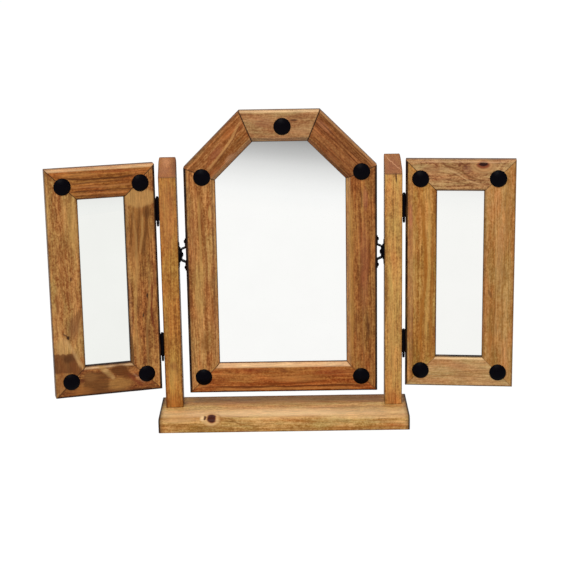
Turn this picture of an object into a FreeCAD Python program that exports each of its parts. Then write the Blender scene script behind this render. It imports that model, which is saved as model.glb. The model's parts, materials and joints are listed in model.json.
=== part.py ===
import FreeCAD, Part
import math
import os

# Trifold dressing-table mirror: a plinth with two posts, a tilting mirror with a
# half-octagon head hung between the posts on two friction pivots, and a rectangular
# mirror hinged to the outer side of each post.
# Millimetres, +Z up, the viewer stands on the -Y side.  The origin is the centre of the
# plinth's underside.

# ---- stand ---------------------------------------------------------------------------
PLINTH_DEPTH = 120.0
PLINTH_THICKNESS = 25.0
PLINTH_OVERHANG = 9.5        # from a post's outer face to the plinth's end
PLINTH_NOSE_RADIUS = 7.0     # round-over along the top front edge
PLINTH_BACK_RADIUS = 3.0     # smaller round-over along the top back edge
POST_SIDE = 30.0             # square section
POST_SETBACK = 61.5          # from the plinth's front to the posts' front faces
POST_ABOVE_WING = 6.0        # the post's high back edge stands this far above the wings
POST_TOP_ANGLE = 45.0        # the tops are sawn sloping to the front
POST_EDGE_EASE = 1.0

# ---- centre mirror -------------------------------------------------------------------
MIRROR_WIDTH = 326.0
MIRROR_HEIGHT = 493.0
ARCH_CORNER = 95.0           # the two top corners are cut off at 45 degrees by this much
SWING_CLEARANCE = 24.5       # from the plinth's top to the mirror's bottom edge

# ---- wings ---------------------------------------------------------------------------
WING_WIDTH = 184.5
WING_HEIGHT = 397.0
WING_ABOVE_PLINTH = 35.0
LEFT_WING_OPEN = 15.0        # degrees that each wing stands forward of the posts' plane
RIGHT_WING_OPEN = 6.0

# ---- frame moulding ------------------------------------------------------------------
MEMBER_WIDTH = 53.0
FRAME_THICKNESS = 20.0
OUTER_ROUND = 2.5            # front outer edge
BACK_EASE = 1.0              # back outer edge
CENTRE_BEVEL = 7.0           # bevel round the centre mirror's sight edge
WING_BEVEL = 3.5
LIP_DEPTH = 8.0              # from the front face back to the glass
RABBET_WIDTH = 8.0
GLASS_THICKNESS = 3.0
GLASS_CLEARANCE = 1.0        # between the glass edge and the rabbet wall
BOARD_THICKNESS = 3.0
BOARD_CLEARANCE = 0.5

# ---- frame fastenings ----------------------------------------------------------------
STUD_DIAMETER = 29.0
STUD_HEIGHT = 6.0
STUD_RIM = 0.8
STUD_SHANK_DIAMETER = 4.0
STUD_SHANK_LENGTH = 12.0
# The studs are driven by hand, so each sits a little (to the right, up) from the middle of
# its mitre.  The centre's run anticlockwise from the lower left, and the last is the top
# rail's.  The wings' run bottom and top of the left-hand stile, then of the right-hand one.
CENTRE_STUD_SHIFTS = [(-1.9, 2.5), (-1.4, 0.4), (0.5, 0.9), (4.3, -5.0), (4.5, 0.0)]
WING_STUD_SHIFTS = {
    "left": [(0.9, 1.8), (1.9, -2.4), (0.0, 4.3), (1.2, -3.9)],
    "right": [(0.3, 1.6), (-1.2, -5.5), (1.5, -0.3), (-3.1, -4.7)],
}
MITRE_NAIL_LEG = 6.0         # V-shaped nails driven into the back across each mitre
MITRE_NAIL_SPREAD = 4.5
MITRE_NAIL_SHEET = 0.8
MITRE_NAIL_DEPTH = 8.0
MITRE_NAIL_INSET = 13.0      # from the outer edge to the outer nail of each pair
MITRE_NAIL_PITCH = 23.0
POINT_WIDTH = 6.0            # flat glazing points that hold the backboards
POINT_SHEET = 0.6
POINT_SHOWN = 7.0
POINT_DRIVEN = 7.0
POINT_SPACING = 110.0

# ---- wing hinges ---------------------------------------------------------------------
HINGE_END_DISTANCE = 79.0    # from the wing's top or bottom edge to the hinge's middle
BARREL_DIAMETER = 5.0        # the leaves are tangent to the barrel, so it sets the gap
LEAF_HEIGHT = 38.0
LEAF_WIDTH = 16.0
LEAF_THICKNESS = 1.4
LEAF_CORNER = 3.0
KNUCKLES = 5                 # odd ones on the post leaf, even ones on the wing leaf
KNUCKLE_GAP = 0.25
NOTCH_CLEARANCE = 0.3
PIN_DIAMETER = 2.4
PIN_CLEARANCE = 0.07         # radial, between the pin and the wing leaf's knuckles
FINIAL_NECK_DIAMETER = 3.4
FINIAL_NECK_HEIGHT = 0.6
FINIAL_FLARE = 0.7           # length of the cone between neck and knob
FINIAL_DIAMETER = 4.6        # where the knob is widest
FINIAL_END_DIAMETER = 4.0    # the knob tapers to this, and then rounds off
FINIAL_TIP_DIAMETER = 2.4
FINIAL_ROUNDING = 0.9        # length of the rounded-off end
UPPER_FINIAL_HEIGHT = 4.5    # short knob above the barrel
LOWER_FINIAL_HEIGHT = 9.5    # long one below it
HINGE_SCREW_SPACING = 20.0
HINGE_SCREW_INSET = 9.5      # from the pin back to the screws
HINGE_SCREW_HEAD = 5.4
HINGE_SCREW_SHANK = 2.8
HINGE_SCREW_LENGTH = 15.0

# ---- tilt pivots ---------------------------------------------------------------------
STRAP_LENGTH = 57.0          # hat-shaped strap on the mirror's side
STRAP_WIDTH = 13.0
STRAP_THICKNESS = 1.5
STRAP_RISE = 8.4             # from the mirror's side to the crown's outer face
STRAP_CROWN = 19.0           # length of the crown's flat, inside
STRAP_LEG_RUN = 2.8          # how far each leg spreads from crown to foot
STRAP_BEND = 1.0             # radius at the bends
STRAP_SCREW_SPACING = 45.5
STRAP_SCREW_HEAD = 6.5
STRAP_SCREW_HEAD_HEIGHT = 2.0
STRAP_SCREW_SHANK = 3.2
STRAP_SCREW_LENGTH = 16.0
PLATE_LENGTH = 43.5          # plate on the post's inner side
PLATE_WIDTH = 15.0
PLATE_THICKNESS = 1.2
PLATE_BOSS_DIAMETER = 27.0   # round middle, wider than the plate's two ears
PLATE_BOSS_HEIGHT = 1.8
PLATE_BOSS_EDGE = 0.8        # bevel round the boss
PLATE_SCREW_SPACING = 33.5
PLATE_SCREW_HEAD = 6.0
PLATE_SCREW_SHANK = 3.0
PLATE_SCREW_LENGTH = 16.0
BOLT_DIAMETER = 4.0
BOLT_CLEARANCE = 0.08        # radial, between the bolt and the strap
BOLT_HEAD_DIAMETER = 8.5
BOLT_HEAD_HEIGHT = 2.0
BOLT_END = 2.0               # how far the bolt runs past its nut
RUN_GAP = 0.1                # between the turning strap and what it runs against
WASHER_DIAMETER = 22.0
WASHER_THICKNESS = 0.4       # flat washer on the boss
SPRING_SHEET = 0.4           # cupped washer between the flat one and the strap
SPRING_CUP = 0.2             # height of its cup when the bolt is tight
NUT_ACROSS_FLATS = 7.0
NUT_THICKNESS = 3.2
NUT_POCKET_CLEARANCE = 0.8

# ---- screws --------------------------------------------------------------------------
POST_SCREW_SPACING = 14.0
POST_SCREW_HEAD = 8.5
POST_SCREW_SHANK = 4.5
POST_SCREW_LENGTH = 62.0
SCREW_SIDES = 12             # screws and nail shanks have this many flats
SCREW_TIP = 0.4              # they taper to this share of the shank's diameter
HEAD_FLAT = 0.5              # flat on top of a domed head, as a share of its diameter
HEAD_SHOULDER = 0.9          # its diameter where the dome turns down, and the share of
HEAD_SHOULDER_HEIGHT = 0.5   # its height at that place

# ---- places that follow from the sizes above -----------------------------------------
SPRING_HEIGHT = SPRING_SHEET + SPRING_CUP
PLATE_STACK = PLATE_THICKNESS + PLATE_BOSS_HEIGHT
PIVOT_GAP = STRAP_RISE + RUN_GAP + SPRING_HEIGHT + WASHER_THICKNESS + PLATE_STACK
POST_INNER_X = MIRROR_WIDTH / 2 + PIVOT_GAP
POST_OUTER_X = POST_INNER_X + POST_SIDE
PLINTH_WIDTH = 2 * (POST_OUTER_X + PLINTH_OVERHANG)
POST_FRONT_Y = POST_SETBACK - PLINTH_DEPTH / 2
POST_MIDDLE_Y = POST_FRONT_Y + POST_SIDE / 2
MIRROR_BOTTOM_Z = PLINTH_THICKNESS + SWING_CLEARANCE
MIRROR_FRONT_Y = POST_MIDDLE_Y - FRAME_THICKNESS / 2
PIVOT_Z = MIRROR_BOTTOM_Z + MIRROR_HEIGHT / 2
WING_BOTTOM_Z = PLINTH_THICKNESS + WING_ABOVE_PLINTH
POST_TOP_Z = WING_BOTTOM_Z + WING_HEIGHT + POST_ABOVE_WING
BARREL_RADIUS = BARREL_DIAMETER / 2
PIN_X = POST_OUTER_X + BARREL_RADIUS
PIN_Y = POST_FRONT_Y         # the pins lie in the plane of the posts' front faces
HINGE_ZS = {
    "upper": WING_BOTTOM_Z + WING_HEIGHT - HINGE_END_DISTANCE,
    "lower": WING_BOTTOM_Z + HINGE_END_DISTANCE,
}
SIDES = {"left": -1, "right": 1}
CLEAR_CUT = 1.0              # how far cutting shapes run past what they cut
PARALLEL = 0.99              # cosine above which an edge counts as lying along an axis

NODES = {}


def vec(x, y, z):
    return FreeCAD.Vector(x, y, z)


def prism(points, along):
    """A flat polygon swept along a vector."""
    return Part.Face(Part.makePolygon(points + points[:1])).extrude(along)


def edges_along(shape, axis):
    """The straight or curved edges whose start runs along an axis."""
    return [e for e in shape.Edges if abs(e.tangentAt(e.FirstParameter).dot(axis)) > PARALLEL]


def square_to(axis):
    """A unit vector at right angles to an axis."""
    reference = vec(0, 1, 0) if abs(axis.z) > PARALLEL else vec(0, 0, 1)
    return axis.cross(reference).normalize()


def turned(points, origin, axis):
    """A solid turned about an axis: the points are (distance along axis, radius)."""
    side = square_to(axis)
    spots = [origin + axis * a + side * r for a, r in points]
    return Part.Face(Part.makePolygon(spots + spots[:1])).revolve(origin, axis, 360)


def faceted(points, origin, axis):
    """Like turned, with flats instead of round walls, for fastenings that repeat.

    The outline starts and ends on the axis, and each stretch of it becomes a ring of
    trapezoids, or of triangles where it meets the axis.
    """
    side = square_to(axis)
    up = axis.cross(side)
    turns = [2 * math.pi * k / SCREW_SIDES for k in range(SCREW_SIDES + 1)]
    spokes = [side * math.cos(t) + up * math.sin(t) for t in turns]
    faces = []
    for (a, r), (b, s) in zip(points, points[1:]):
        for one, two in zip(spokes, spokes[1:]):
            low, high = origin + axis * a, origin + axis * b
            ring = [low + one * r, low + two * r] if r else [low]
            ring += [high + two * s, high + one * s] if s else [high]
            faces.append(Part.Face(Part.makePolygon(ring + ring[:1])))
    solid = Part.makeSolid(Part.makeShell(faces)).removeSplitter()
    return solid.reversed() if solid.Volume < 0 else solid


def carve(solid, tools):
    """Cut every tool that reaches the solid out of it."""
    near = [tool for tool in tools if tool.BoundBox.intersect(solid.BoundBox)]
    if not near:
        return solid
    return max(solid.cut(near).Solids, key=lambda piece: piece.Volume)


def fuse(*shapes):
    return shapes[0].fuse(list(shapes[1:])).removeSplitter().Solids[0]


def shank_outline(shank, length):
    """Outline of a straight shank with a blunt tapered tip, from the face to the axis."""
    tip = SCREW_TIP * shank / 2
    return [(0, shank / 2), (length - shank, shank / 2), (length, tip), (length, 0)]


def domed_head(head, height):
    """Outline of a low domed head that stands on the face, from the axis to its rim."""
    radius = head / 2
    return [(-height, 0), (-height, HEAD_FLAT * radius),
            (-HEAD_SHOULDER_HEIGHT * height, HEAD_SHOULDER * radius), (0, radius)]


def countersunk_screw(face, inward, head, shank, length):
    """Flush screw with a cone head, driven inward from a point on the face."""
    cone = (head - shank) / 2
    outline = [(0, 0), (0, head / 2), (cone, shank / 2)] + shank_outline(shank, length)[1:]
    return faceted(outline, face, inward)


def pan_screw(face, inward, head, head_height, shank, length):
    """Screw whose low domed head stands proud of the face."""
    return faceted(domed_head(head, head_height) + shank_outline(shank, length), face, inward)


def round_ended_plate(length, width, thickness):
    """Plate in the YZ plane, length along Z, from x = 0 to thickness, with half-round ends."""
    straight = length - width
    plate = Part.makeBox(thickness, width, straight, vec(0, -width / 2, -straight / 2))
    ends = [Part.makeCylinder(width / 2, thickness, vec(0, 0, s * straight / 2), vec(1, 0, 0))
            for s in (-1, 1)]
    return fuse(plate, *ends)


# ---- mitred frames -------------------------------------------------------------------
# A frame lies in its own XZ plane with its front face at y = 0.  Its outline runs
# anticlockwise as the viewer sees it, so the inside is on the left of every side.

def side_directions(outline, i):
    """Unit vector along side i, and the one pointing from it into the frame."""
    along = outline[(i + 1) % len(outline)] - outline[i]
    along.normalize()
    return along, vec(-along.z, 0, along.x)


def mitre(outline, i):
    """The step from corner i to the inner corner, for each millimetre of inset."""
    before = side_directions(outline, i - 1)[1]
    after = side_directions(outline, i)[1]
    return (before + after) * (1 / (1 + before.dot(after)))


def inset_outline(outline, inset):
    return [p + mitre(outline, i) * inset for i, p in enumerate(outline)]


def moulding_profile(start, inward, bevel):
    """Section of the moulding: rounded outer edge, bevelled sight edge and back rabbet."""
    def at(across, back):
        return start + inward * across + vec(0, back, 0)
    bend = OUTER_ROUND * (1 - math.sqrt(0.5))
    shelf = MEMBER_WIDTH - RABBET_WIDTH
    corners = [
        at(OUTER_ROUND, 0), at(MEMBER_WIDTH - bevel, 0), at(MEMBER_WIDTH, bevel),
        at(MEMBER_WIDTH, LIP_DEPTH), at(shelf, LIP_DEPTH), at(shelf, FRAME_THICKNESS),
        at(BACK_EASE, FRAME_THICKNESS), at(0, FRAME_THICKNESS - BACK_EASE), at(0, OUTER_ROUND),
    ]
    edges = [Part.makeLine(a, b) for a, b in zip(corners, corners[1:])]
    edges.append(Part.Arc(corners[-1], at(bend, bend), corners[0]).toShape())
    return Part.Face(Part.Wire(edges))


def frame_member(outline, i, bevel):
    """One side of a frame, cut from a length of moulding at both mitre planes."""
    along, inward = side_directions(outline, i)
    j = (i + 1) % len(outline)
    length = (outline[j] - outline[i]).Length
    start = outline[i] - along * CLEAR_CUT
    bar = moulding_profile(start, inward, bevel).extrude(along * (length + 2 * CLEAR_CUT))
    outer, inner = -CLEAR_CUT, MEMBER_WIDTH + CLEAR_CUT
    corners = [
        outline[i] + mitre(outline, i) * outer, outline[j] + mitre(outline, j) * outer,
        outline[j] + mitre(outline, j) * inner, outline[i] + mitre(outline, i) * inner,
    ]
    corners = [c - vec(0, CLEAR_CUT, 0) for c in corners]
    return bar.common(prism(corners, vec(0, FRAME_THICKNESS + 2 * CLEAR_CUT, 0))).Solids[0]


def shifted(places, shifts):
    """Places in a frame's plane, each moved by its own (to the right, up)."""
    return [place + vec(x, 0, z) for place, (x, z) in zip(places, shifts)]


def stud_shank(place):
    """The part of a domed nail that is in the wood, from the front face back."""
    outline = [(0, 0)] + shank_outline(STUD_SHANK_DIAMETER, STUD_SHANK_LENGTH)
    return faceted(outline, place, vec(0, 1, 0))


def stud(place):
    """Domed black nail: a cap turned from an arc over a short rim, and its shank."""
    radius, rise = STUD_DIAMETER / 2, STUD_HEIGHT - STUD_RIM
    bend = (radius ** 2 + rise ** 2) / (2 * rise)
    half = math.asin(radius / bend) / 2
    crown = place + vec(0, -STUD_HEIGHT, 0)
    rim_front = place + vec(radius, -STUD_RIM, 0)
    middle = crown + vec(bend * math.sin(half), bend * (1 - math.cos(half)), 0)
    dome = Part.Arc(crown, middle, rim_front).toShape()
    rest = [rim_front, place + vec(radius, 0, 0), place, crown]
    lines = [Part.makeLine(a, b) for a, b in zip(rest, rest[1:])]
    cap = Part.Face(Part.Wire([dome] + lines)).revolve(place, vec(0, 1, 0), 360)
    return fuse(cap, stud_shank(place))


def mitre_nail(outline, i, inset):
    """V-shaped strip nail that straddles a mitre, flush with the frame's back."""
    step = mitre(outline, i)
    towards_inside = vec(step.x, 0, step.z).normalize()
    across = vec(-towards_inside.z, 0, towards_inside.x)
    apex = outline[i] + step * inset + vec(0, FRAME_THICKNESS, 0)
    ends = [apex + towards_inside * MITRE_NAIL_LEG + across * s * MITRE_NAIL_SPREAD for s in (1, -1)]
    sheet = towards_inside * MITRE_NAIL_SHEET
    points = [apex, ends[0], ends[0] + sheet, apex + sheet, ends[1] + sheet, ends[1]]
    return prism(points, vec(0, -MITRE_NAIL_DEPTH, 0))


def glazing_points(outline, i):
    """Flat pointed tabs driven into the rabbet wall, lying on the backboard."""
    along, inward = side_directions(outline, i)
    wall = inset_outline(outline, MEMBER_WIDTH - RABBET_WIDTH)
    start, end = wall[i], wall[(i + 1) % len(wall)]
    count = max(1, round((end - start).Length / POINT_SPACING))
    back = vec(0, LIP_DEPTH + GLASS_THICKNESS + BOARD_THICKNESS, 0)
    half = along * (POINT_WIDTH / 2)
    tabs = []
    for k in range(count):
        middle = start + (end - start) * ((k + 0.5) / count) + back
        tip = middle - inward * POINT_DRIVEN
        shoulder = middle - inward * (POINT_DRIVEN / 2)
        shown = middle + inward * POINT_SHOWN
        points = [tip, shoulder + half, shown + half, shown - half, shoulder - half]
        tabs.append(prism(points, vec(0, POINT_SHEET, 0)))
    return tabs


def panel(outline, inset, front, thickness):
    """Flat sheet that fills the frame from a given inset."""
    points = [p + vec(0, front, 0) for p in inset_outline(outline, inset)]
    return prism(points, vec(0, thickness, 0))


def glazed_frame(prefix, outline, member_names, bevel, stud_places, side_screws, move):
    """Members, glass, backboard, studs, mitre nails and glazing points of one mirror.

    side_screws are the screws of the hardware on this frame, already in its own place.
    move puts a shape of the frame's own plane where it belongs on the object.
    """
    corners = range(len(outline))
    studs = [stud(place) for place in stud_places]
    insets = (MITRE_NAIL_INSET, MITRE_NAIL_INSET + MITRE_NAIL_PITCH)
    nails = [mitre_nail(outline, i, inset) for i in corners for inset in insets]
    points = [tab for i in corners for tab in glazing_points(outline, i)]
    driven = [stud_shank(place) for place in stud_places] + nails + points + side_screws
    for i, name in enumerate(member_names):
        NODES[prefix + name] = move(carve(frame_member(outline, i, bevel), driven))
    wall = MEMBER_WIDTH - RABBET_WIDTH
    glass = panel(outline, wall + GLASS_CLEARANCE, LIP_DEPTH, GLASS_THICKNESS)
    board = panel(outline, wall + BOARD_CLEARANCE, LIP_DEPTH + GLASS_THICKNESS, BOARD_THICKNESS)
    NODES[prefix + "mirror_glass"] = move(glass)
    NODES[prefix + "backboard"] = move(board)
    NODES[prefix + "studs"] = move(Part.makeCompound(studs))
    NODES[prefix + "mitre_nails"] = move(Part.makeCompound(nails))
    NODES[prefix + "glazing_points"] = move(Part.makeCompound(points))


# ---- centre mirror -------------------------------------------------------------------

def centre_mirror():
    half, top = MIRROR_WIDTH / 2, MIRROR_HEIGHT
    outline = [
        vec(-half, 0, 0), vec(half, 0, 0), vec(half, 0, top - ARCH_CORNER),
        vec(half - ARCH_CORNER, 0, top), vec(ARCH_CORNER - half, 0, top),
        vec(-half, 0, top - ARCH_CORNER),
    ]
    names = ["bottom_rail", "right_stile", "right_arch_rail", "top_rail", "left_arch_rail",
             "left_stile"]
    middle = MEMBER_WIDTH / 2
    places = [outline[i] + mitre(outline, i) * middle for i in (0, 1, 2, 5)]
    places.append(vec(0, 0, top - middle))
    places = shifted(places, CENTRE_STUD_SHIFTS)

    def move(shape):
        return shape.translated(vec(0, MIRROR_FRONT_Y, MIRROR_BOTTOM_Z))

    screws = []
    for sign in SIDES.values():
        for up in (-1, 1):
            head_seat = sign * (half + STRAP_THICKNESS)
            face = vec(head_seat, FRAME_THICKNESS / 2, top / 2 + up * STRAP_SCREW_SPACING / 2)
            screws.append(pan_screw(face, vec(-sign, 0, 0), STRAP_SCREW_HEAD,
                                    STRAP_SCREW_HEAD_HEIGHT, STRAP_SCREW_SHANK,
                                    STRAP_SCREW_LENGTH))
    glazed_frame("centre_", outline, names, CENTRE_BEVEL, places, screws, move)
    NODES["pivot_bracket_screws"] = move(Part.makeCompound(screws))


# ---- tilt pivots ---------------------------------------------------------------------

def hat_strap():
    """Bent strap: two feet on x = 0, steep legs and a raised crown towards +X."""
    half, crown, rise = STRAP_LENGTH / 2, STRAP_CROWN / 2, STRAP_RISE - STRAP_THICKNESS
    knee = crown + STRAP_LEG_RUN
    shift = STRAP_THICKNESS * rise / (math.hypot(rise, STRAP_LEG_RUN) + STRAP_LEG_RUN)
    upper = [
        (0, half), (0, knee), (rise, crown),
        (STRAP_RISE, crown + shift), (STRAP_THICKNESS, knee + shift), (STRAP_THICKNESS, half),
    ]
    inside, outside = upper[:3], upper[3:]
    outline = inside + [(x, -z) for x, z in reversed(inside)]
    outline += [(x, -z) for x, z in reversed(outside)] + outside
    bent = prism([vec(x, -STRAP_WIDTH / 2, z) for x, z in outline], vec(0, STRAP_WIDTH, 0))
    bends = [e for e in edges_along(bent, vec(0, 1, 0)) if abs(e.Vertexes[0].Z) < half - CLEAR_CUT]
    bent = bent.makeFillet(STRAP_BEND, bends)
    return bent.common(round_ended_plate(STRAP_LENGTH, STRAP_WIDTH, STRAP_RISE)).Solids[0]


def boss_plate():
    """Plate on x = 0 that stands towards -X: two round ears and a wide raised boss."""
    plate = round_ended_plate(PLATE_LENGTH, PLATE_WIDTH, PLATE_THICKNESS)
    plate.translate(vec(-PLATE_THICKNESS, 0, 0))
    radius = PLATE_BOSS_DIAMETER / 2
    outline = [(0, 0), (0, radius), (PLATE_STACK - PLATE_BOSS_EDGE, radius),
               (PLATE_STACK, radius - PLATE_BOSS_EDGE), (PLATE_STACK, 0)]
    return fuse(plate, turned(outline, vec(0, 0, 0), vec(-1, 0, 0)))


def pivot_washers(boss_face):
    """Flat washer on the boss and the cupped spring washer between it and the strap."""
    bore, rim = BOLT_DIAMETER / 2, WASHER_DIAMETER / 2
    inward = vec(-1, 0, 0)
    flat = [(0, bore), (0, rim), (WASHER_THICKNESS, rim), (WASHER_THICKNESS, bore)]
    cupped = [(0, rim), (SPRING_SHEET, rim), (SPRING_HEIGHT, bore), (SPRING_CUP, bore)]
    spring_face = boss_face + inward * WASHER_THICKNESS
    return [turned(flat, boss_face, inward), turned(cupped, spring_face, inward)]


def hex_nut(face):
    """Nut from a face point towards +X, bored for the bolt."""
    corner = NUT_ACROSS_FLATS / math.sqrt(3)
    angles = [math.radians(60 * k) for k in range(6)]
    points = [face + vec(0, corner * math.cos(a), corner * math.sin(a)) for a in angles]
    bore = Part.makeCylinder(BOLT_DIAMETER / 2, NUT_THICKNESS, face, vec(1, 0, 0))
    return prism(points, vec(NUT_THICKNESS, 0, 0)).cut(bore)


def right_pivot():
    """Pieces of the right-hand pivot, on the object's own axes, and the post's pocket."""
    mirror_side = vec(MIRROR_WIDTH / 2, POST_MIDDLE_Y, PIVOT_Z)
    post_side = vec(POST_INNER_X, POST_MIDDLE_Y, PIVOT_Z)
    outwards = vec(1, 0, 0)
    bolt_radius = BOLT_DIAMETER / 2

    crown_inner = STRAP_RISE - STRAP_THICKNESS
    head_front = mirror_side + outwards * (crown_inner - RUN_GAP)
    nut_back = post_side + outwards * NUT_THICKNESS
    shank_length = (nut_back - head_front).x + BOLT_END
    bolt_outline = domed_head(BOLT_HEAD_DIAMETER, BOLT_HEAD_HEIGHT)
    bolt_outline += [(0, bolt_radius), (shank_length, bolt_radius), (shank_length, 0)]
    bolt = turned(bolt_outline, head_front, outwards)

    strap = hat_strap().translated(mirror_side)
    running_hole = Part.makeCylinder(bolt_radius + BOLT_CLEARANCE, STRAP_RISE, mirror_side,
                                     outwards)
    strap = strap.cut(running_hole)

    screws = []
    for up in (-1, 1):
        face = post_side + vec(-PLATE_THICKNESS, 0, up * PLATE_SCREW_SPACING / 2)
        screws.append(countersunk_screw(face, outwards, PLATE_SCREW_HEAD, PLATE_SCREW_SHANK,
                                        PLATE_SCREW_LENGTH))
    plate = carve(boss_plate().translated(post_side), screws + [bolt])

    washers = pivot_washers(post_side - outwards * PLATE_STACK)
    nut = hex_nut(post_side)
    pocket_radius = NUT_ACROSS_FLATS / math.sqrt(3) + NUT_POCKET_CLEARANCE
    pocket_depth = NUT_THICKNESS + BOLT_END + NUT_POCKET_CLEARANCE
    pocket = Part.makeCylinder(pocket_radius, pocket_depth, post_side, outwards)
    return {"strap": strap, "plate": plate, "bolt": bolt, "nut": nut, "washers": washers,
            "screws": screws, "pocket": pocket}


def mirrored(shape):
    return shape.mirror(vec(0, 0, 0), vec(1, 0, 0))


def pivots():
    """Both pivots; the left one is the right one's mirror image. Returns post cutters."""
    right = right_pivot()
    strap_screws = NODES["pivot_bracket_screws"].Solids
    NODES["right_pivot_bracket"] = carve(right["strap"], strap_screws)
    NODES["left_pivot_bracket"] = mirrored(NODES["right_pivot_bracket"])
    NODES["right_pivot_plate"] = right["plate"]
    NODES["left_pivot_plate"] = mirrored(right["plate"])
    groups = {"pivot_bolts": [right["bolt"]], "pivot_nuts": [right["nut"]],
              "pivot_spring_washers": right["washers"], "pivot_plate_screws": right["screws"]}
    for name, solids in groups.items():
        NODES[name] = Part.makeCompound(solids + [mirrored(s) for s in solids])
    cutters = right["screws"] + [right["pocket"]]
    return {"right": cutters, "left": [mirrored(c) for c in cutters]}


# ---- wing hinges ---------------------------------------------------------------------
# Each hinge is drawn with its pin on the Z axis and the wing towards +X, in line with the
# post, and is mirrored for the left side.

def knuckle_bands(for_wing):
    """Lowest and highest z of each knuckle on one leaf."""
    height = (LEAF_HEIGHT - (KNUCKLES - 1) * KNUCKLE_GAP) / KNUCKLES
    bands = []
    for k in range(KNUCKLES):
        if (k % 2 == 1) == for_wing:
            low = -LEAF_HEIGHT / 2 + k * (height + KNUCKLE_GAP)
            bands.append((low, low + height))
    return bands


def band_cylinder(radius, low, high):
    return Part.makeCylinder(radius, high - low, vec(0, 0, low))


def leaf_screws(towards):
    """Two flush screws from the gap into the wood, on the side given by towards."""
    face_x = towards * (BARREL_RADIUS - LEAF_THICKNESS)
    return [
        countersunk_screw(vec(face_x, HINGE_SCREW_INSET, up * HINGE_SCREW_SPACING / 2),
                          vec(towards, 0, 0), HINGE_SCREW_HEAD, HINGE_SCREW_SHANK,
                          HINGE_SCREW_LENGTH)
        for up in (-1, 1)
    ]


def hinge_leaf(for_wing):
    """Plate tangent to the barrel, its own knuckles, and notches round the other leaf's."""
    towards = 1 if for_wing else -1
    inner = towards * (BARREL_RADIUS - LEAF_THICKNESS)
    outer = towards * BARREL_RADIUS
    start = vec(min(inner, outer), 0, -LEAF_HEIGHT / 2)
    plate = Part.makeBox(LEAF_THICKNESS, LEAF_WIDTH, LEAF_HEIGHT, start)
    free_edges = [e for e in edges_along(plate, vec(1, 0, 0)) if e.Vertexes[0].Y > LEAF_WIDTH / 2]
    plate = plate.makeFillet(LEAF_CORNER, free_edges)
    rings = [band_cylinder(BARREL_RADIUS, low, high) for low, high in knuckle_bands(for_wing)]
    notches = [band_cylinder(BARREL_RADIUS + NOTCH_CLEARANCE, low - KNUCKLE_GAP, high + KNUCKLE_GAP)
               for low, high in knuckle_bands(not for_wing)]
    leaf = fuse(plate.cut(notches), *rings)
    bore = PIN_DIAMETER / 2 + (PIN_CLEARANCE if for_wing else 0.0)
    hole = band_cylinder(bore, -LEAF_HEIGHT, LEAF_HEIGHT)
    return carve(leaf, [hole] + leaf_screws(towards))


def finial(height):
    """Outline of a turned end from the shank outwards: neck, flare, knob and rounded tip."""
    neck, end = FINIAL_NECK_DIAMETER / 2, LEAF_HEIGHT / 2
    shoulder, tip = end + FINIAL_NECK_HEIGHT, end + height
    return [(end, PIN_DIAMETER / 2), (end, neck), (shoulder, neck),
            (shoulder + FINIAL_FLARE, FINIAL_DIAMETER / 2),
            (tip - FINIAL_ROUNDING, FINIAL_END_DIAMETER / 2), (tip, FINIAL_TIP_DIAMETER / 2),
            (tip, 0)]


def hinge_pin():
    """Pin that ends in a short turned finial above the barrel and a long one below it."""
    lower = [(-z, r) for z, r in reversed(finial(LOWER_FINIAL_HEIGHT))]
    return turned(lower + finial(UPPER_FINIAL_HEIGHT), vec(0, 0, 0), vec(0, 0, 1))


def hinges():
    """All four hinges.  Returns the screws that go into the posts and into the wings."""
    post_leaf, wing_leaf, pin = hinge_leaf(False), hinge_leaf(True), hinge_pin()
    post_cutters, wing_cutters = {}, {}
    for side, sign in SIDES.items():
        opening = wing_turn(side)
        post_cutters[side], wing_cutters[side] = [], []
        for level, z in HINGE_ZS.items():
            def placed(shape):
                shape = shape if sign > 0 else mirrored(shape)
                return shape.translated(vec(sign * PIN_X, PIN_Y, z))
            name = side + "_" + level + "_hinge_"
            NODES[name + "post_leaf"] = placed(post_leaf)
            NODES[name + "pin"] = placed(pin)
            NODES[name + "wing_leaf"] = opening(placed(wing_leaf))
            post_cutters[side] += [placed(s) for s in leaf_screws(-1)]
            wing_cutters[side] += [placed(s) for s in leaf_screws(1)]
        screws = [opening(s) for s in wing_cutters[side]]
        NODES[side + "_wing_hinge_screws"] = Part.makeCompound(screws)
    NODES["post_hinge_screws"] = Part.makeCompound(post_cutters["left"] + post_cutters["right"])
    return post_cutters, wing_cutters


# ---- wings ---------------------------------------------------------------------------

def wing_turn(side):
    """Turn of a wing's pieces about its pins, from in line with the posts to rest."""
    sign = SIDES[side]
    degrees = LEFT_WING_OPEN if side == "left" else -RIGHT_WING_OPEN

    def turn(shape):
        turned_shape = shape.copy()
        turned_shape.rotate(vec(sign * PIN_X, PIN_Y, 0), vec(0, 0, 1), degrees)
        return turned_shape
    return turn


def wing(side, hinge_screws):
    """One wing: its outline starts at the hinge side's lower corner or ends there."""
    sign = SIDES[side]
    near, far = sorted((0.0, sign * WING_WIDTH))
    outline = [vec(near, 0, 0), vec(far, 0, 0), vec(far, 0, WING_HEIGHT), vec(near, 0, WING_HEIGHT)]
    stiles = ["inner_stile", "outer_stile"] if sign < 0 else ["outer_stile", "inner_stile"]
    names = ["bottom_rail", stiles[0], "top_rail", stiles[1]]
    middle = MEMBER_WIDTH / 2
    places = [vec(x, 0, z) for x in (near + middle, far - middle)
              for z in (middle, WING_HEIGHT - middle)]
    places = shifted(places, WING_STUD_SHIFTS[side])
    corner = vec(sign * (PIN_X + BARREL_RADIUS), POST_FRONT_Y, WING_BOTTOM_Z)
    opening = wing_turn(side)

    def move(shape):
        return opening(shape.translated(corner))

    screws = [s.translated(corner * -1) for s in hinge_screws]
    glazed_frame(side + "_wing_", outline, names, WING_BEVEL, places, screws, move)


# ---- stand ---------------------------------------------------------------------------

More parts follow.
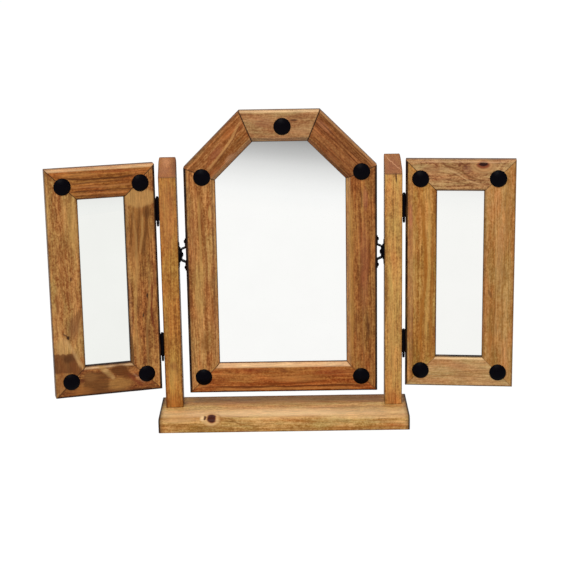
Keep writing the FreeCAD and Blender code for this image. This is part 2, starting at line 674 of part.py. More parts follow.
def plinth(screws):
    """Board with a rounded nose along its top front edge, cut square at the ends."""
    front, back, top = -PLINTH_DEPTH / 2, PLINTH_DEPTH / 2, PLINTH_THICKNESS
    x = -PLINTH_WIDTH / 2
    nose, tail = PLINTH_NOSE_RADIUS, PLINTH_BACK_RADIUS
    bend = 1 - math.sqrt(0.5)
    corners = [vec(x, front + nose, top), vec(x, back - tail, top), vec(x, back, top - tail),
               vec(x, back, 0), vec(x, front, 0), vec(x, front, top - nose)]
    edges = [
        Part.makeLine(corners[0], corners[1]),
        Part.Arc(corners[1], vec(x, back - bend * tail, top - bend * tail), corners[2]).toShape(),
        Part.makeLine(corners[2], corners[3]),
        Part.makeLine(corners[3], corners[4]),
        Part.makeLine(corners[4], corners[5]),
        Part.Arc(corners[5], vec(x, front + bend * nose, top - bend * nose), corners[0]).toShape(),
    ]
    board = Part.Face(Part.Wire(edges)).extrude(vec(PLINTH_WIDTH, 0, 0))
    NODES["base_plinth"] = carve(board, screws)


def post(side, cutters):
    """Square post with eased edges and a top sawn sloping down to the front."""
    sign = SIDES[side]
    left = min(sign * POST_INNER_X, sign * POST_OUTER_X)
    height = POST_TOP_Z - PLINTH_THICKNESS
    blank = Part.makeBox(POST_SIDE, POST_SIDE, height, vec(left, POST_FRONT_Y, PLINTH_THICKNESS))
    blank = blank.makeFillet(POST_EDGE_EASE, edges_along(blank, vec(0, 0, 1)))
    back = POST_FRONT_Y + POST_SIDE
    drop = (POST_SIDE + CLEAR_CUT) * math.tan(math.radians(POST_TOP_ANGLE))
    x = left - CLEAR_CUT
    offcut = [vec(x, back, POST_TOP_Z), vec(x, POST_FRONT_Y - CLEAR_CUT, POST_TOP_Z - drop),
              vec(x, POST_FRONT_Y - CLEAR_CUT, POST_TOP_Z + CLEAR_CUT),
              vec(x, back, POST_TOP_Z + CLEAR_CUT)]
    sawn = blank.cut(prism(offcut, vec(POST_SIDE + 2 * CLEAR_CUT, 0, 0)))
    NODES[side + "_post"] = carve(sawn.Solids[0], cutters)


def post_fixing_screws():
    """Two countersunk screws up through the plinth into the foot of each post."""
    screws = []
    for sign in SIDES.values():
        x = sign * (POST_INNER_X + POST_SIDE / 2)
        for along in (-1, 1):
            face = vec(x, POST_MIDDLE_Y + along * POST_SCREW_SPACING / 2, 0)
            screws.append(countersunk_screw(face, vec(0, 0, 1), POST_SCREW_HEAD,
                                            POST_SCREW_SHANK, POST_SCREW_LENGTH))
    NODES["post_fixing_screws"] = Part.makeCompound(screws)
    return screws


def build():
    centre_mirror()
    pivot_cutters = pivots()
    hinge_post_screws, hinge_wing_screws = hinges()
    fixing = post_fixing_screws()
    plinth(fixing)
    for side in SIDES:
        post(side, pivot_cutters[side] + hinge_post_screws[side] + fixing)
        wing(side, hinge_wing_screws[side])


build()
os.makedirs("parts", exist_ok=True)
for node, shape in NODES.items():
    if not shape.isValid():
        print("not valid:", node)
    shape.exportStep("parts/" + node + ".step")
print(len(NODES), "nodes")
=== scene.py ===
"""Looks of a trifold dressing-table mirror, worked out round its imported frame.

Stained and waxed pine boards, black lacquered iron hardware, silvered glass and hardboard
backs.  Shapes are worked out in millimetres and put into meshes in metres.
"""

import json
import math
from collections import namedtuple

import bpy
import numpy as np
from mathutils import Matrix, Vector


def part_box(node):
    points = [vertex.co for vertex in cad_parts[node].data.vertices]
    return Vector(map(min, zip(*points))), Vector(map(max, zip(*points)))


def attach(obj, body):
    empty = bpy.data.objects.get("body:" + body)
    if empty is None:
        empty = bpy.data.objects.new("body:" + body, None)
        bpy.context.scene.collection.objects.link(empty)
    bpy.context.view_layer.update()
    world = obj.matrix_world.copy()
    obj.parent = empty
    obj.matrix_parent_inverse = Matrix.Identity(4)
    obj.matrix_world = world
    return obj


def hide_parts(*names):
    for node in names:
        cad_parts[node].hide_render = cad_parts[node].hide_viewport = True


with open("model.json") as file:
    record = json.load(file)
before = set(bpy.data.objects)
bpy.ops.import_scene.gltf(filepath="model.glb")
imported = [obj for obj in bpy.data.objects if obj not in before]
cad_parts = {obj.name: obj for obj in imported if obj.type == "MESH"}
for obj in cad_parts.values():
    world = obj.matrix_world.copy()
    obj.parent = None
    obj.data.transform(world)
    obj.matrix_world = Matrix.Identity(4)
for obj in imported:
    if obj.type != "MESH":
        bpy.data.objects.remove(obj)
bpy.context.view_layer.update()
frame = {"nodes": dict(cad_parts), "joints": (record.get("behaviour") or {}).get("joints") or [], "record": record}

MM = 0.001

# ---- sizes in millimetres, the same as the solids' ------------------------------------
MEMBER_WIDTH = 53.0
FRAME_THICKNESS = 20.0
LIP_DEPTH = 8.0
RABBET_WIDTH = 8.0
CENTRE_BEVEL = 7.0
WING_BEVEL = 3.5
OUTER_ROUND = 2.5
BACK_EASE = 1.0
NAIL_PROUD = 0.08            # the flush nails stand this far out of the frames' backs
PLINTH_NOSE = 7.0
PLINTH_TAIL = 3.0
POST_EASE = 1.0
BARREL_RADIUS = 2.5
WING_WIDTH = 184.5
WING_OPEN = {"left": 15.0, "right": -6.0}
STUD_RADIUS = 14.5
STUD_HEIGHT = 6.0
STUD_RIM = 0.8
STUD_DENTS = 0.06            # the hammered faces wander this far up and down
SIDES = {"left": -1, "right": 1}
# how far each hand-driven stud sits from the middle of its mitre, to the right and up
CENTRE_STUD_SHIFTS = [(-1.9, 2.5), (-1.4, 0.4), (0.5, 0.9), (4.3, -5.0), (4.5, 0.0)]
WING_STUD_SHIFTS = {
    "left": [(0.9, 1.8), (1.9, -2.4), (0.0, 4.3), (1.2, -3.9)],
    "right": [(0.3, 1.6), (-1.2, -5.5), (1.5, -0.3), (-3.1, -4.7)],
}


def mm_box(node):
    """A node's lowest and highest corners in millimetres."""
    low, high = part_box(node)
    return np.array(low) / MM, np.array(high) / MM


# ---- materials ------------------------------------------------------------------------

def linear(code):
    """An sRGB hex value as a linear colour: ((c + 0.055) / 1.055) ** 2.4 above the toe."""
    parts = [int(code[i:i + 2], 16) / 255 for i in (1, 3, 5)]
    return tuple(
        c / 12.92 if c <= 0.04045 else ((c + 0.055) / 1.055) ** 2.4 for c in parts) + (1.0,)


def add(tree, kind, inputs=None, stops=(), **settings):
    """Adds a node with its properties, its inputs (values, sockets or nodes) and links.

    A ramp's stops are (position, colour) pairs, the two ends first.
    """
    made = tree.nodes.new("ShaderNode" + kind)
    for key, value in settings.items():
        setattr(made, key, value)
    for key, value in (inputs or {}).items():
        if isinstance(value, bpy.types.Node):
            value = value.outputs[0]
        if isinstance(value, bpy.types.NodeSocket):
            tree.links.new(value, made.inputs[key])
        else:
            made.inputs[key].default_value = value
    for i, (position, colour) in enumerate(stops):
        ramp = made.color_ramp.elements
        stop = ramp[i] if i < 2 else ramp.new(position)
        stop.position, stop.color = position, colour
    return made


def new_material(name, **values):
    """An empty node material whose shader has these constant values."""
    material = bpy.data.materials.new(name)
    material.use_nodes = True
    shader = material.node_tree.nodes["Principled BSDF"]
    for key, value in values.items():
        shader.inputs[key.replace("_", " ")].default_value = value
    return material, material.node_tree, shader


def drawn_out_noise(tree, place, length, width, detail, roughness=0.5):
    """A pattern drawn out along the grain, its patches this long and wide in millimetres."""
    drawn = add(tree, "VectorMath", {0: place, 1: (1 / length, 1 / width, 1 / width)},
                operation="MULTIPLY")
    return add(tree, "TexNoise", {"Vector": drawn, "Scale": 1.0, "Detail": detail,
                                  "Roughness": roughness})


# A board's look: the ring spacing and how strongly the latewood lines show, where the pith
# lies (across, in front of the face), how far the grain wanders and the rings taper, the
# shares of clouds and streaks, and its marks and veins.
Look = namedtuple("Look", "ring lines pith wander taper clouds streaks marks veins",
                  defaults=((), ()))
# An oval or square patch of colour; turn is in degrees, bulge parts the rings round a knot.
Mark = namedtuple("Mark", "x y half_x half_y tint strength turn soft bulge square z half_z",
                  defaults=(0.7, 0.0, 0.5, 0.0, False, 0.0, 1000.0))
# A line of colour that follows the grain through (along, across) points.
Vein = namedtuple("Vein", "path half tint strength soft", defaults=(0.6, 0.7))

RING_SHIVER = 1.8            # the rings are unsteady by up to this many millimetres
BULGE_REACH = 4.0            # rings part round a knot out to this many times its half size
VEIN_SPAN = 60.0             # a vein's curve holds its distances across as shares of this
VEIN_FADE = (0.32, 0.52)     # a vein fades between these shares of its length from its middle
DARKEST, PALEST = 0.78, 1.15  # the tones' extremes, as shares of the dark and light ones
END_GRAIN = "#8a5638"
END_COVER = 0.8              # how much of a cut's own tone the end grain's hides
# near-black held stain, also painted shade in the lip, the gaps and the edges turned from the light
HELD_STAIN_AND_SHADE = "#1c0c05"
# cream rubbed wood, also a painted highlight on edges and bevels that face the light from above
RUBBED_AND_LIT_EDGE = "#ecc796"
REDDER = (1.08, 0.94, 0.84, 1)
YELLOWER = (0.95, 1.05, 0.94, 1)


def pine(node, seed, origin, along, across):
    """Stained, waxed pine, planed and brushed, for one board.

    Pine gives the eye soft streaks and clouds where it takes the stain unevenly, redder and
    yellower patches, thin latewood lines, knots that the rings part round, and fine fibres.
    The rings are distances from the pith, warped along the board, so ends and faces agree.
    """
    look = LOOKS[node]
    material, tree, shader = new_material("pine_" + node, IOR=1.45, Specular_IOR_Level=0.12)
    front = Vector(along).cross(Vector(across))
    basis = Matrix((along, across, front)).transposed()
    place = add(tree, "TexCoord").outputs["Object"]
    local = add(tree, "Mapping", {
        "Vector": place, "Location": Vector(origin) * MM, "Rotation": basis.to_euler(),
        "Scale": (MM, MM, MM)}, vector_type="TEXTURE")
    # each board is sawn from its own far-off place in the patterns
    apart = add(tree, "VectorMath", {0: local, 1: (seed * 613.0, seed * 97.0, seed * 41.0)},
                operation="ADD")

    # long slow bends of the grain
    bends = drawn_out_noise(tree, apart, 260, 60, 2.0, 0.45)
    bent = add(tree, "VectorMath", {
        0: bends.outputs["Color"], 1: (0, look.wander, look.wander),
        2: (0, -look.wander / 2, -look.wander / 2)}, operation="MULTIPLY_ADD")
    grainwise = add(tree, "VectorMath", {0: apart, 1: bent}, operation="ADD")
    # small unsteadiness of lines and patches, up to 3.5 mm along and 2 mm across
    shiver = drawn_out_noise(tree, apart, 30, 6, 2.0)
    shaken = add(tree, "VectorMath", {
        0: shiver.outputs["Color"], 1: (7, 4, 4), 2: (-3.5, -2, -2)}, operation="MULTIPLY_ADD")
    crooked = add(tree, "VectorMath", {0: local, 1: shaken}, operation="ADD")
    run = add(tree, "SeparateXYZ", {0: crooked})

    warped = add(tree, "VectorMath", {0: local, 1: bent}, operation="ADD")
    flat = add(tree, "VectorMath", {
        0: warped, 1: (0, 1, 1), 2: (0, -look.pith[0], -look.pith[1])}, operation="MULTIPLY_ADD")
    distance = add(tree, "VectorMath", {0: flat}, operation="LENGTH").outputs["Value"]
    radius = add(tree, "Math", {0: run.outputs["X"], 1: look.taper, 2: distance},
                 operation="MULTIPLY_ADD")
    radius = add(tree, "Math", {0: shiver, 1: RING_SHIVER, 2: radius}, operation="MULTIPLY_ADD")

    covers = []
    for mark in look.marks:
        centred = add(tree, "Mapping", {
            "Vector": crooked, "Location": (mark.x, mark.y, mark.z),
            "Rotation": (0, 0, math.radians(mark.turn)),
            "Scale": (mark.half_x, mark.half_y, mark.half_z)}, vector_type="TEXTURE")
        if mark.square:
            sides = add(tree, "VectorMath", {0: centred}, operation="ABSOLUTE")
            sides = add(tree, "SeparateXYZ", {0: sides})
            away = add(tree, "Math", {0: sides.outputs["X"], 1: sides.outputs["Y"]},
                       operation="MAXIMUM")
        else:
            away = add(tree, "VectorMath", {0: centred}, operation="LENGTH").outputs["Value"]
        if mark.bulge:
            parted = add(tree, "MapRange", {
                "Value": away, "From Min": 0.0, "From Max": BULGE_REACH,
                "To Min": mark.bulge, "To Max": 0.0}, interpolation_type="SMOOTHERSTEP")
            radius = add(tree, "Math", {0: radius, 1: parted}, operation="ADD")
        covers.append((mark.tint, add(tree, "MapRange", {
            "Value": away, "From Min": 1 - mark.soft, "From Max": 1 + mark.soft,
            "To Min": mark.strength, "To Max": 0.0}, interpolation_type="SMOOTHSTEP")))
    for vein in look.veins:
        start, end = vein.path[0][0], vein.path[-1][0]
        share = add(tree, "MapRange", {
            "Value": run.outputs["X"], "From Min": start, "From Max": end})
        line = add(tree, "FloatCurve", {"Value": share})
        curve = line.mapping.curves[0]
        spots = [((x - start) / (end - start), y / VEIN_SPAN) for x, y in vein.path]
        curve.points[0].location, curve.points[1].location = spots[0], spots[-1]
        for spot in spots[1:-1]:
            curve.points.new(*spot)
        line.mapping.update()
        off = add(tree, "Math", {0: line, 1: -VEIN_SPAN, 2: run.outputs["Y"]},
                  operation="MULTIPLY_ADD")
        off = add(tree, "Math", {0: off}, operation="ABSOLUTE")
        beside = add(tree, "MapRange", {
            "Value": off, "From Min": vein.half * (1 - vein.soft),
            "From Max": vein.half * (1 + vein.soft), "To Min": vein.strength, "To Max": 0.0},
            interpolation_type="SMOOTHSTEP")
        middle = add(tree, "Math", {0: run.outputs["X"], 1: (start + end) / 2},
                     operation="SUBTRACT")
        middle = add(tree, "Math", {0: middle}, operation="ABSOLUTE")
        fade = add(tree, "MapRange", {
            "Value": middle, "From Min": (end - start) * VEIN_FADE[0],
            "From Max": (end - start) * VEIN_FADE[1], "To Min": 1.0, "To Max": 0.0},
            interpolation_type="SMOOTHSTEP")
        covers.append((vein.tint, add(tree, "Math", {0: beside, 1: fade},
                                      operation="MULTIPLY")))

    # latewood: each year's ring ends in a thin darker line, and years differ
    rings = add(tree, "Math", {0: radius, 1: 1 / look.ring}, operation="MULTIPLY")
    bands = add(tree, "TexNoise", {"W": rings, "Scale": 0.55, "Detail": 2.0, "Roughness": 0.6},
                noise_dimensions="1D")
    uneven = add(tree, "Math", {0: bands, 1: 2.5, 2: rings}, operation="MULTIPLY_ADD")
    year = add(tree, "Math", {0: uneven}, operation="FRACT")
    latewood = add(tree, "ValToRGB", {"Fac": year}, stops=[
        (position, (value, value, value, 1))
        for position, value in ((0, 0.1), (1, 0.1), (0.5, 0.3), (0.84, 1.0), (0.93, 0.55))])

    # the tone is a sum of noises about the middle: (mm along, mm across, detail, share)
    patterns = {
        "clouds of stain": (90, 30, 3.0, look.clouds * 0.85),
        "streaks": (100, 4.0, 2.0, look.streaks * 0.95),
        "bands of uneven years": (220, 11.0, 2.0, look.streaks * 0.75),
        "mottle of the brush": (8, 5.0, 2.0, 0.7),
        "grain of the surface": (3.2, 2.4, 1.0, 0.75),
    }
    tone = add(tree, "Math", {
        0: latewood, 1: -look.lines,
        2: 0.5 + 0.38 * look.lines - sum(share for *_, share in patterns.values()) / 2},
        operation="MULTIPLY_ADD")
    for length, width, detail, share in patterns.values():
        cloud = drawn_out_noise(tree, grainwise, length, width, detail)
        tone = add(tree, "Math", {0: cloud, 1: share, 2: tone}, operation="MULTIPLY_ADD")
    dark, middle, light = [linear(code) for code in TONES[node]]
    wood = add(tree, "ValToRGB", {"Fac": tone}, stops=[
        (0.0, [c * DARKEST for c in dark[:3]] + [1]), (1.0, [c * PALEST for c in light[:3]] + [1]),
        (0.25, dark), (0.5, middle), (0.75, light)])
    # redder and yellower patches, turned end for end so that they don't follow the clouds
    patchy = drawn_out_noise(tree, grainwise, -60, 14, 2.0)
    warmth = add(tree, "MapRange", {"Value": patchy, "From Min": 0.34, "From Max": 0.66})
    warmth = add(tree, "Mix", {0: warmth, 6: REDDER, 7: YELLOWER}, data_type="RGBA")
    colour = add(tree, "Mix", {0: 1.0, 6: wood, 7: warmth.outputs[2]}, data_type="RGBA",
                 blend_type="MULTIPLY").outputs[2]
    edges = {key: add(tree, "Attribute", attribute_name=key).outputs["Fac"]
             for key in ("rubbed_and_lit", "end_grain", "held_stain_and_shade")}
    ends = add(tree, "Math", {0: edges["end_grain"], 1: END_COVER}, operation="MULTIPLY")
    # the pale edge layer is rubbed wood with a painted highlight, and the dark one held stain with painted shade
    layers = [(RUBBED_AND_LIT_EDGE, edges["rubbed_and_lit"]), (END_GRAIN, ends), *covers,
              (HELD_STAIN_AND_SHADE, edges["held_stain_and_shade"])]
    for tint, cover in layers:
        colour = add(tree, "Mix", {0: cover, 6: colour, 7: linear(tint)},
                     data_type="RGBA").outputs[2]
    # fibres 24 mm long, drawn 1.3 mm wide, which is several times too coarse, so that they show
    fibre = drawn_out_noise(tree, apart, 24, 1.3, 3.0, 0.6)
    shade = add(tree, "MapRange", {
        "Value": fibre, "From Min": 0.3, "From Max": 0.7, "To Min": 0.72, "To Max": 1.28})
    colour = add(tree, "Mix", {0: 1.0, 6: colour, 7: shade}, data_type="RGBA",
                 blend_type="MULTIPLY").outputs[2]
    tree.links.new(colour, shader.inputs["Base Color"])

    # wax fills the earlywood and leaves the latewood a little glossier
    sheen = add(tree, "MapRange", {
        "Value": latewood, "From Min": 0.0, "From Max": 1.0, "To Min": 0.55, "To Max": 0.42})
    tree.links.new(sheen.outputs[0], shader.inputs["Roughness"])
    relief = add(tree, "Math", {0: fibre, 1: 0.5, 2: latewood}, operation="MULTIPLY_ADD")
    bump = add(tree, "Bump", {"Height": relief, "Strength": 0.25, "Distance": 0.0003})
    tree.links.new(bump.outputs[0], shader.inputs["Normal"])
    return material


def uneven_finish(name, per_metre, detail, tones, rough, relief=None, **values):
    """A finish that wanders between two tones and two roughnesses, this many patches a metre.

    relief, where there is one, is the strength and depth in metres of a skin of the patches.
    """
    material, tree, shader = new_material(name, **values)
    place = add(tree, "TexCoord").outputs["Object"]
    patches = add(tree, "TexNoise", {"Vector": place, "Scale": per_metre, "Detail": detail})
    tone = add(tree, "Mix", {0: patches, 6: linear(tones[0]), 7: linear(tones[1])},
               data_type="RGBA").outputs[2]
    tree.links.new(tone, shader.inputs["Base Color"])
    gloss = add(tree, "MapRange", {"Value": patches, "From Min": 0.3, "From Max": 0.7,
                                   "To Min": rough[0], "To Max": rough[1]})
    tree.links.new(gloss.outputs[0], shader.inputs["Roughness"])
    if relief:
        bump = add(tree, "Bump", {"Height": patches, "Strength": relief[0], "Distance": relief[1]})
        tree.links.new(bump.outputs[0], shader.inputs["Normal"])
    return material


def pressed_hardboard():
    """Hardboard: wood fibre pressed on a wire screen, brown, matte, with the screen's mesh."""
    material, tree, shader = new_material("screen_backed_hardboard", IOR=1.45,
                                          Specular_IOR_Level=0.25, Roughness=0.75)
    place = add(tree, "TexCoord").outputs["Object"]
    # bundles of fibre, 4 mm, and clouds, 45 mm
    fluff = add(tree, "TexNoise", {
        "Vector": place, "Scale": 250.0, "Detail": 4.0, "Roughness": 0.7})
    clouds = add(tree, "TexNoise", {"Vector": place, "Scale": 22.0, "Detail": 3.0})
    tone = linear("#5a3d28")
    for cover, tint in ((fluff, "#8a6647"), (clouds, "#6b4930")):
        tone = add(tree, "Mix", {0: cover, 6: tone, 7: linear(tint)}, data_type="RGBA").outputs[2]
    tree.links.new(tone, shader.inputs["Base Color"])
    # wires of the screen, 2.4 mm apart
    across, upright = [
        add(tree, "TexWave", {"Vector": place, "Scale": 130.0, "Distortion": 0.6},
            bands_direction=direction) for direction in "XZ"]
    mesh = add(tree, "Math", {0: across, 1: upright}, operation="MULTIPLY")
    relief = add(tree, "Math", {0: fluff, 1: 0.6, 2: mesh}, operation="MULTIPLY_ADD")
    bump = add(tree, "Bump", {"Height": relief, "Strength": 0.6, "Distance": 0.0004})
    tree.links.new(bump.outputs[0], shader.inputs["Normal"])
    return material


BOARD_BACK = pressed_hardboard()
# black lacquer brushed over pressed iron sheet: satin, near black, with a faint orange-peel
# skin of 2.5 mm patches
IRON = uneven_finish("black_lacquered_iron", 400.0, 2.0, ("#010002", "#07050c"), (0.36, 0.5),
                     (0.25, 0.0002), IOR=1.5, Specular_IOR_Level=0.03)
# bright zinc plating on small steel fastenings: pale metal with a dull bloom, 1.7 mm across
ZINC = uneven_finish("zinc_plated_steel", 600.0, 3.0, ("#8e9091", "#bcbdb9"), (0.3, 0.5),
                     Metallic=1.0)
# float glass silvered on its back: a clean mirror with a hardly seen haze of 60 mm wipes
# the three glasses differ only in brightness, as painted shade: the left one darkest and the centre one lightest,
# to how bright each reflection falls
GLASSES = {
    node: uneven_finish("silvered_glass_" + place, 16.0, 3.0, tones, (0.01, 0.03), Metallic=1.0)
    for node, place, tones in (
        ("centre_mirror_glass", "centre", ("#f2f2f0", "#f6f6f4")),
        ("left_wing_mirror_glass", "left", ("#e9eae6", "#eeefeb")),
        ("right_wing_mirror_glass", "right", ("#eeeeeb", "#f2f2ef")))
}


# ---- meshes ---------------------------------------------------------------------------

ARRIS_WEAR = 0.3             # rounded corners are worn in by up to this
BY_CORNER = (1.0, 2.5, 6.0)  # long flats get points this far from each corner
BY_CUT = [0.9, 1.8, 4.0, 9.0]  # a bar has rings this far from each of its two cuts
RING_STEP = 9.0              # and at least this far apart between them


def new_piece(name, points, faces, body, material, node):
    """A mesh object from points in millimetres and faces, riding on a body for a node."""
    mesh = bpy.data.meshes.new(name)
    mesh.from_pydata((points * MM).tolist(), [], faces)
    mesh.materials.append(material)
    piece = bpy.data.objects.new(name, mesh)
    bpy.context.scene.collection.objects.link(piece)
    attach(piece, body)
    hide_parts(node)
    return piece


def unit(vectors):
    """Vectors made one long."""
    return vectors / np.linalg.norm(vectors, axis=-1, keepdims=True)


def ring_quads(rings, around):
    """Quads between neighbouring rings, each of this many points numbered on round it."""
    ring, spot = np.meshgrid(np.arange(rings - 1), np.arange(around), indexing="ij")
    after = (spot + 1) % around
    return np.stack([ring * around + spot, ring * around + after,
                     (ring + 1) * around + after, (ring + 1) * around + spot], -1).reshape(-1, 4)


def rounded_outline(corners, widest=200.0):
    """Closed outline of a polygon with rounded corners: points, outward normals, roundness.

    A corner is (across, third, radius, steps).  Its arc touches both sides at
    radius / tan(half angle) from the corner, about a centre on the bisector at
    radius / sin(half angle).  Long flats also get points close by each corner, and then
    evenly so that none of their stretches is longer than the widest.
    """
    spots = np.array([c[:2] for c in corners], float)
    stretches = []
    for i, (_, _, radius, steps) in enumerate(corners):
        if not radius:
            stretches.append(spots[i][None])
            continue
        before = unit(spots[i - 1] - spots[i])
        after = unit(spots[(i + 1) % len(spots)] - spots[i])
        half = math.acos(np.clip(before @ after, -1, 1)) / 2
        centre = spots[i] + unit(before + after) * radius / math.sin(half)
        first = spots[i] + before * radius / math.tan(half) - centre
        last = spots[i] + after * radius / math.tan(half) - centre
        sweep = math.pi - 2 * half
        share = np.linspace(0, 1, steps + 1)[:, None]
        arc = (np.sin((1 - share) * sweep) * first + np.sin(share * sweep) * last) / math.sin(sweep)
        stretches.append(centre + arc)
    points, roundness = [], []
    for i, stretch in enumerate(stretches):
        points.append(stretch)
        weight = np.zeros(len(stretch))
        weight[1:-1] = 1.0
        roundness.append(weight)
        begin, end = stretch[-1], stretches[(i + 1) % len(stretches)][0]
        length = np.linalg.norm(end - begin)
        near = [d for d in BY_CORNER if length > 3 * d]
        if near:
            gap = length - 2 * near[-1]
            even = np.linspace(near[-1], near[-1] + gap, max(2, math.ceil(gap / widest) + 1))
            inner = np.array(near[:-1] + even.tolist() + [length - d for d in near[-2::-1]])
            points.append(begin + np.outer(inner / length, end - begin))
            roundness.append(np.zeros(len(inner)))
    points, roundness = np.concatenate(points), np.concatenate(roundness)
    following, previous = np.roll(points, -1, 0), np.roll(points, 1, 0)
    area = (points[:, 0] * following[:, 1] - following[:, 0] * points[:, 1]).sum()
    tangent = unit(unit(following - points) + unit(points - previous))
    normals = np.stack([tangent[:, 1], -tangent[:, 0]], 1) * np.sign(area)
    return points, normals, roundness, area > 0


def wave(s, rng):
    """A smooth unsteady line from 0 to 1: the sum of three sines of unlike lengths."""
    total = np.zeros_like(s)
    for length in (37.0, 71.0, 163.0):
        total += np.sin(2 * math.pi * s / length + rng.uniform(0, 2 * math.pi))
    return 0.5 + total / 6


# Stain at a bar's two end cuts: how dark each is and how far along it reaches.
Cuts = namedtuple("Cuts", "first last reach", defaults=(1.3,))


def milled_bar(node, kind, body, material, origin, axes, outline, low, high, stains_and_light, seed,
               cuts, arris=0.35, rim=0.0):
    """A length of moulding: an outline carried along the grain between two end cuts.

    A point (u, v) of the outline starts at s = low . (1, u, v) and ends at high . (1, u, v),
    and lies at origin + s, u and v times the three axes.  Rings lie at fixed distances from
    both cuts and evenly between; the rings in the cuts are the outline drawn in by the arris,
    and with a rim each cut has a second ring inside, drawn towards the middle by that share,
    so that stain stays on the rim.  Rounded corners are worn in by a smooth wave of s.
    The edges' tones give, for each outline point, how dark it is with held stain and painted shade, and how pale
    with rubbing and painted highlight.
    """
    points, normals, roundness, forward = outline
    held_and_shaded, rubbed_and_lit = stains_and_light
    rng = np.random.default_rng(seed)
    inside = [0.0] if rim else []
    near = np.array(inside + [0.0, arris] + BY_CUT)
    count = max(2, int((high[0] - low[0] - 2 * near[-1]) / RING_STEP))
    share = np.linspace(0, 1, count + 1)[1:-1]
    offset = np.concatenate([near, near[-1] * (1 - 2 * share), -near[::-1]])
    portion = np.concatenate([near * 0, share, near * 0 + 1])
    rings, around = len(offset), len(points)
    spots = np.broadcast_to(points, (rings, around, 2)).copy()
    in_cut = np.minimum(np.arange(rings), np.arange(rings)[::-1]) <= len(inside)
    spots[in_cut] -= normals * arris
    if rim:
        spots[[0, -1]] += (points.mean(0) - spots[[0, -1]]) * rim
    low, high = np.array(low), np.array(high)
    begin = low[0] + spots @ low[1:]
    end = high[0] + spots @ high[1:]
    s = begin + offset[:, None] + portion[:, None] * (end - begin)
    wear = roundness * ARRIS_WEAR
    spots -= normals * (wear * wave(s, rng))[..., None]
    axes = np.array(axes, float)
    place = np.array(origin) + s[..., None] * axes[0] + spots @ axes[1:]

    quads = ring_quads(rings, around)
    caps = [np.arange(around)[::-1], np.arange(around) + (rings - 1) * around]
    if (np.linalg.det(axes) > 0) != forward:
        quads, caps = quads[:, ::-1], [cap[::-1] for cap in caps]
    faces = quads.tolist() + [cap.tolist() for cap in caps]
    piece = new_piece(node + kind, place.reshape(-1, 3), faces, body, material, node)
    smooth = np.ones(len(faces), bool)
    smooth[-2:] = False
    if rim:
        smooth[:around] = smooth[-2 - around:-2] = False
    piece.data.polygons.foreach_set("use_smooth", smooth)

    # stain gathers in the joints; brush and cloth went over the edges unevenly, and the painted shade and painted
    # highlight on them wander with it
    from_cut = np.minimum(s - begin, end - s)
    darkness = np.where(s - begin < end - s, cuts.first, cuts.last)
    joint = np.clip(1.5 - 1.5 * from_cut / cuts.reach, 0, 1) * darkness
    fields = {
        "held_stain_and_shade": np.maximum(held_and_shaded * (0.82 + 0.3 * wave(s, rng)), joint),
        "rubbed_and_lit": rubbed_and_lit * (0.75 + 0.4 * wave(s, rng)) * (1 - joint),
        "end_grain": np.broadcast_to(in_cut[:, None] * 1.0, s.shape),
    }
    if rim:
        fields["held_stain_and_shade"][[0, -1]] = 0.0
    for key, values in fields.items():
        layer = piece.data.attributes.new(key, "FLOAT", "POINT")
        layer.data.foreach_set("value", np.clip(values, 0, 1).astype(np.float32).ravel())
    return piece


# ---- boards' looks --------------------------------------------------------------------
# Marks and veins are placed in millimetres along the board from its first end and across it
# from its outer edge; the plinth's across is its height, and the posts' is from the left.

TONES = {                    # each board's dark, middle and light tone
    "base_plinth": ("#9d6a2f", "#bc8d52", "#d2a66b"),
    "left_post": ("#87511c", "#a76e31", "#bb8541"),
    "right_post": ("#9b6733", "#bb874a", "#cc9957"),
    "centre_bottom_rail": ("#7a390c", "#985625", "#af6f38"),
    "centre_right_stile": ("#784218", "#965f2e", "#ac763f"),
    "centre_right_arch_rail": ("#6d3a17", "#88532a", "#9c663a"),
    "centre_top_rail": ("#885936", "#9e724a", "#b3895f"),
    "centre_left_arch_rail": ("#7d4418", "#945e32", "#af7848"),
    "centre_left_stile": ("#844d21", "#a7723e", "#c08c55"),
    "left_wing_bottom_rail": ("#643011", "#8a5327", "#ac7540"),
    "left_wing_inner_stile": ("#743f19", "#a06835", "#bd864c"),
    "left_wing_top_rail": ("#753b0e", "#925723", "#ab6d36"),
    "left_wing_outer_stile": ("#854f23", "#a87742", "#c09057"),
    "right_wing_bottom_rail": ("#a67a4b", "#b88e5f", "#caa070"),
    "right_wing_outer_stile": ("#99642e", "#af7c46", "#c08e5a"),
    "right_wing_top_rail": ("#764427", "#a1734a", "#bb9164"),
    "right_wing_inner_stile": ("#8e5921", "#ac793b", "#c29153"),
}
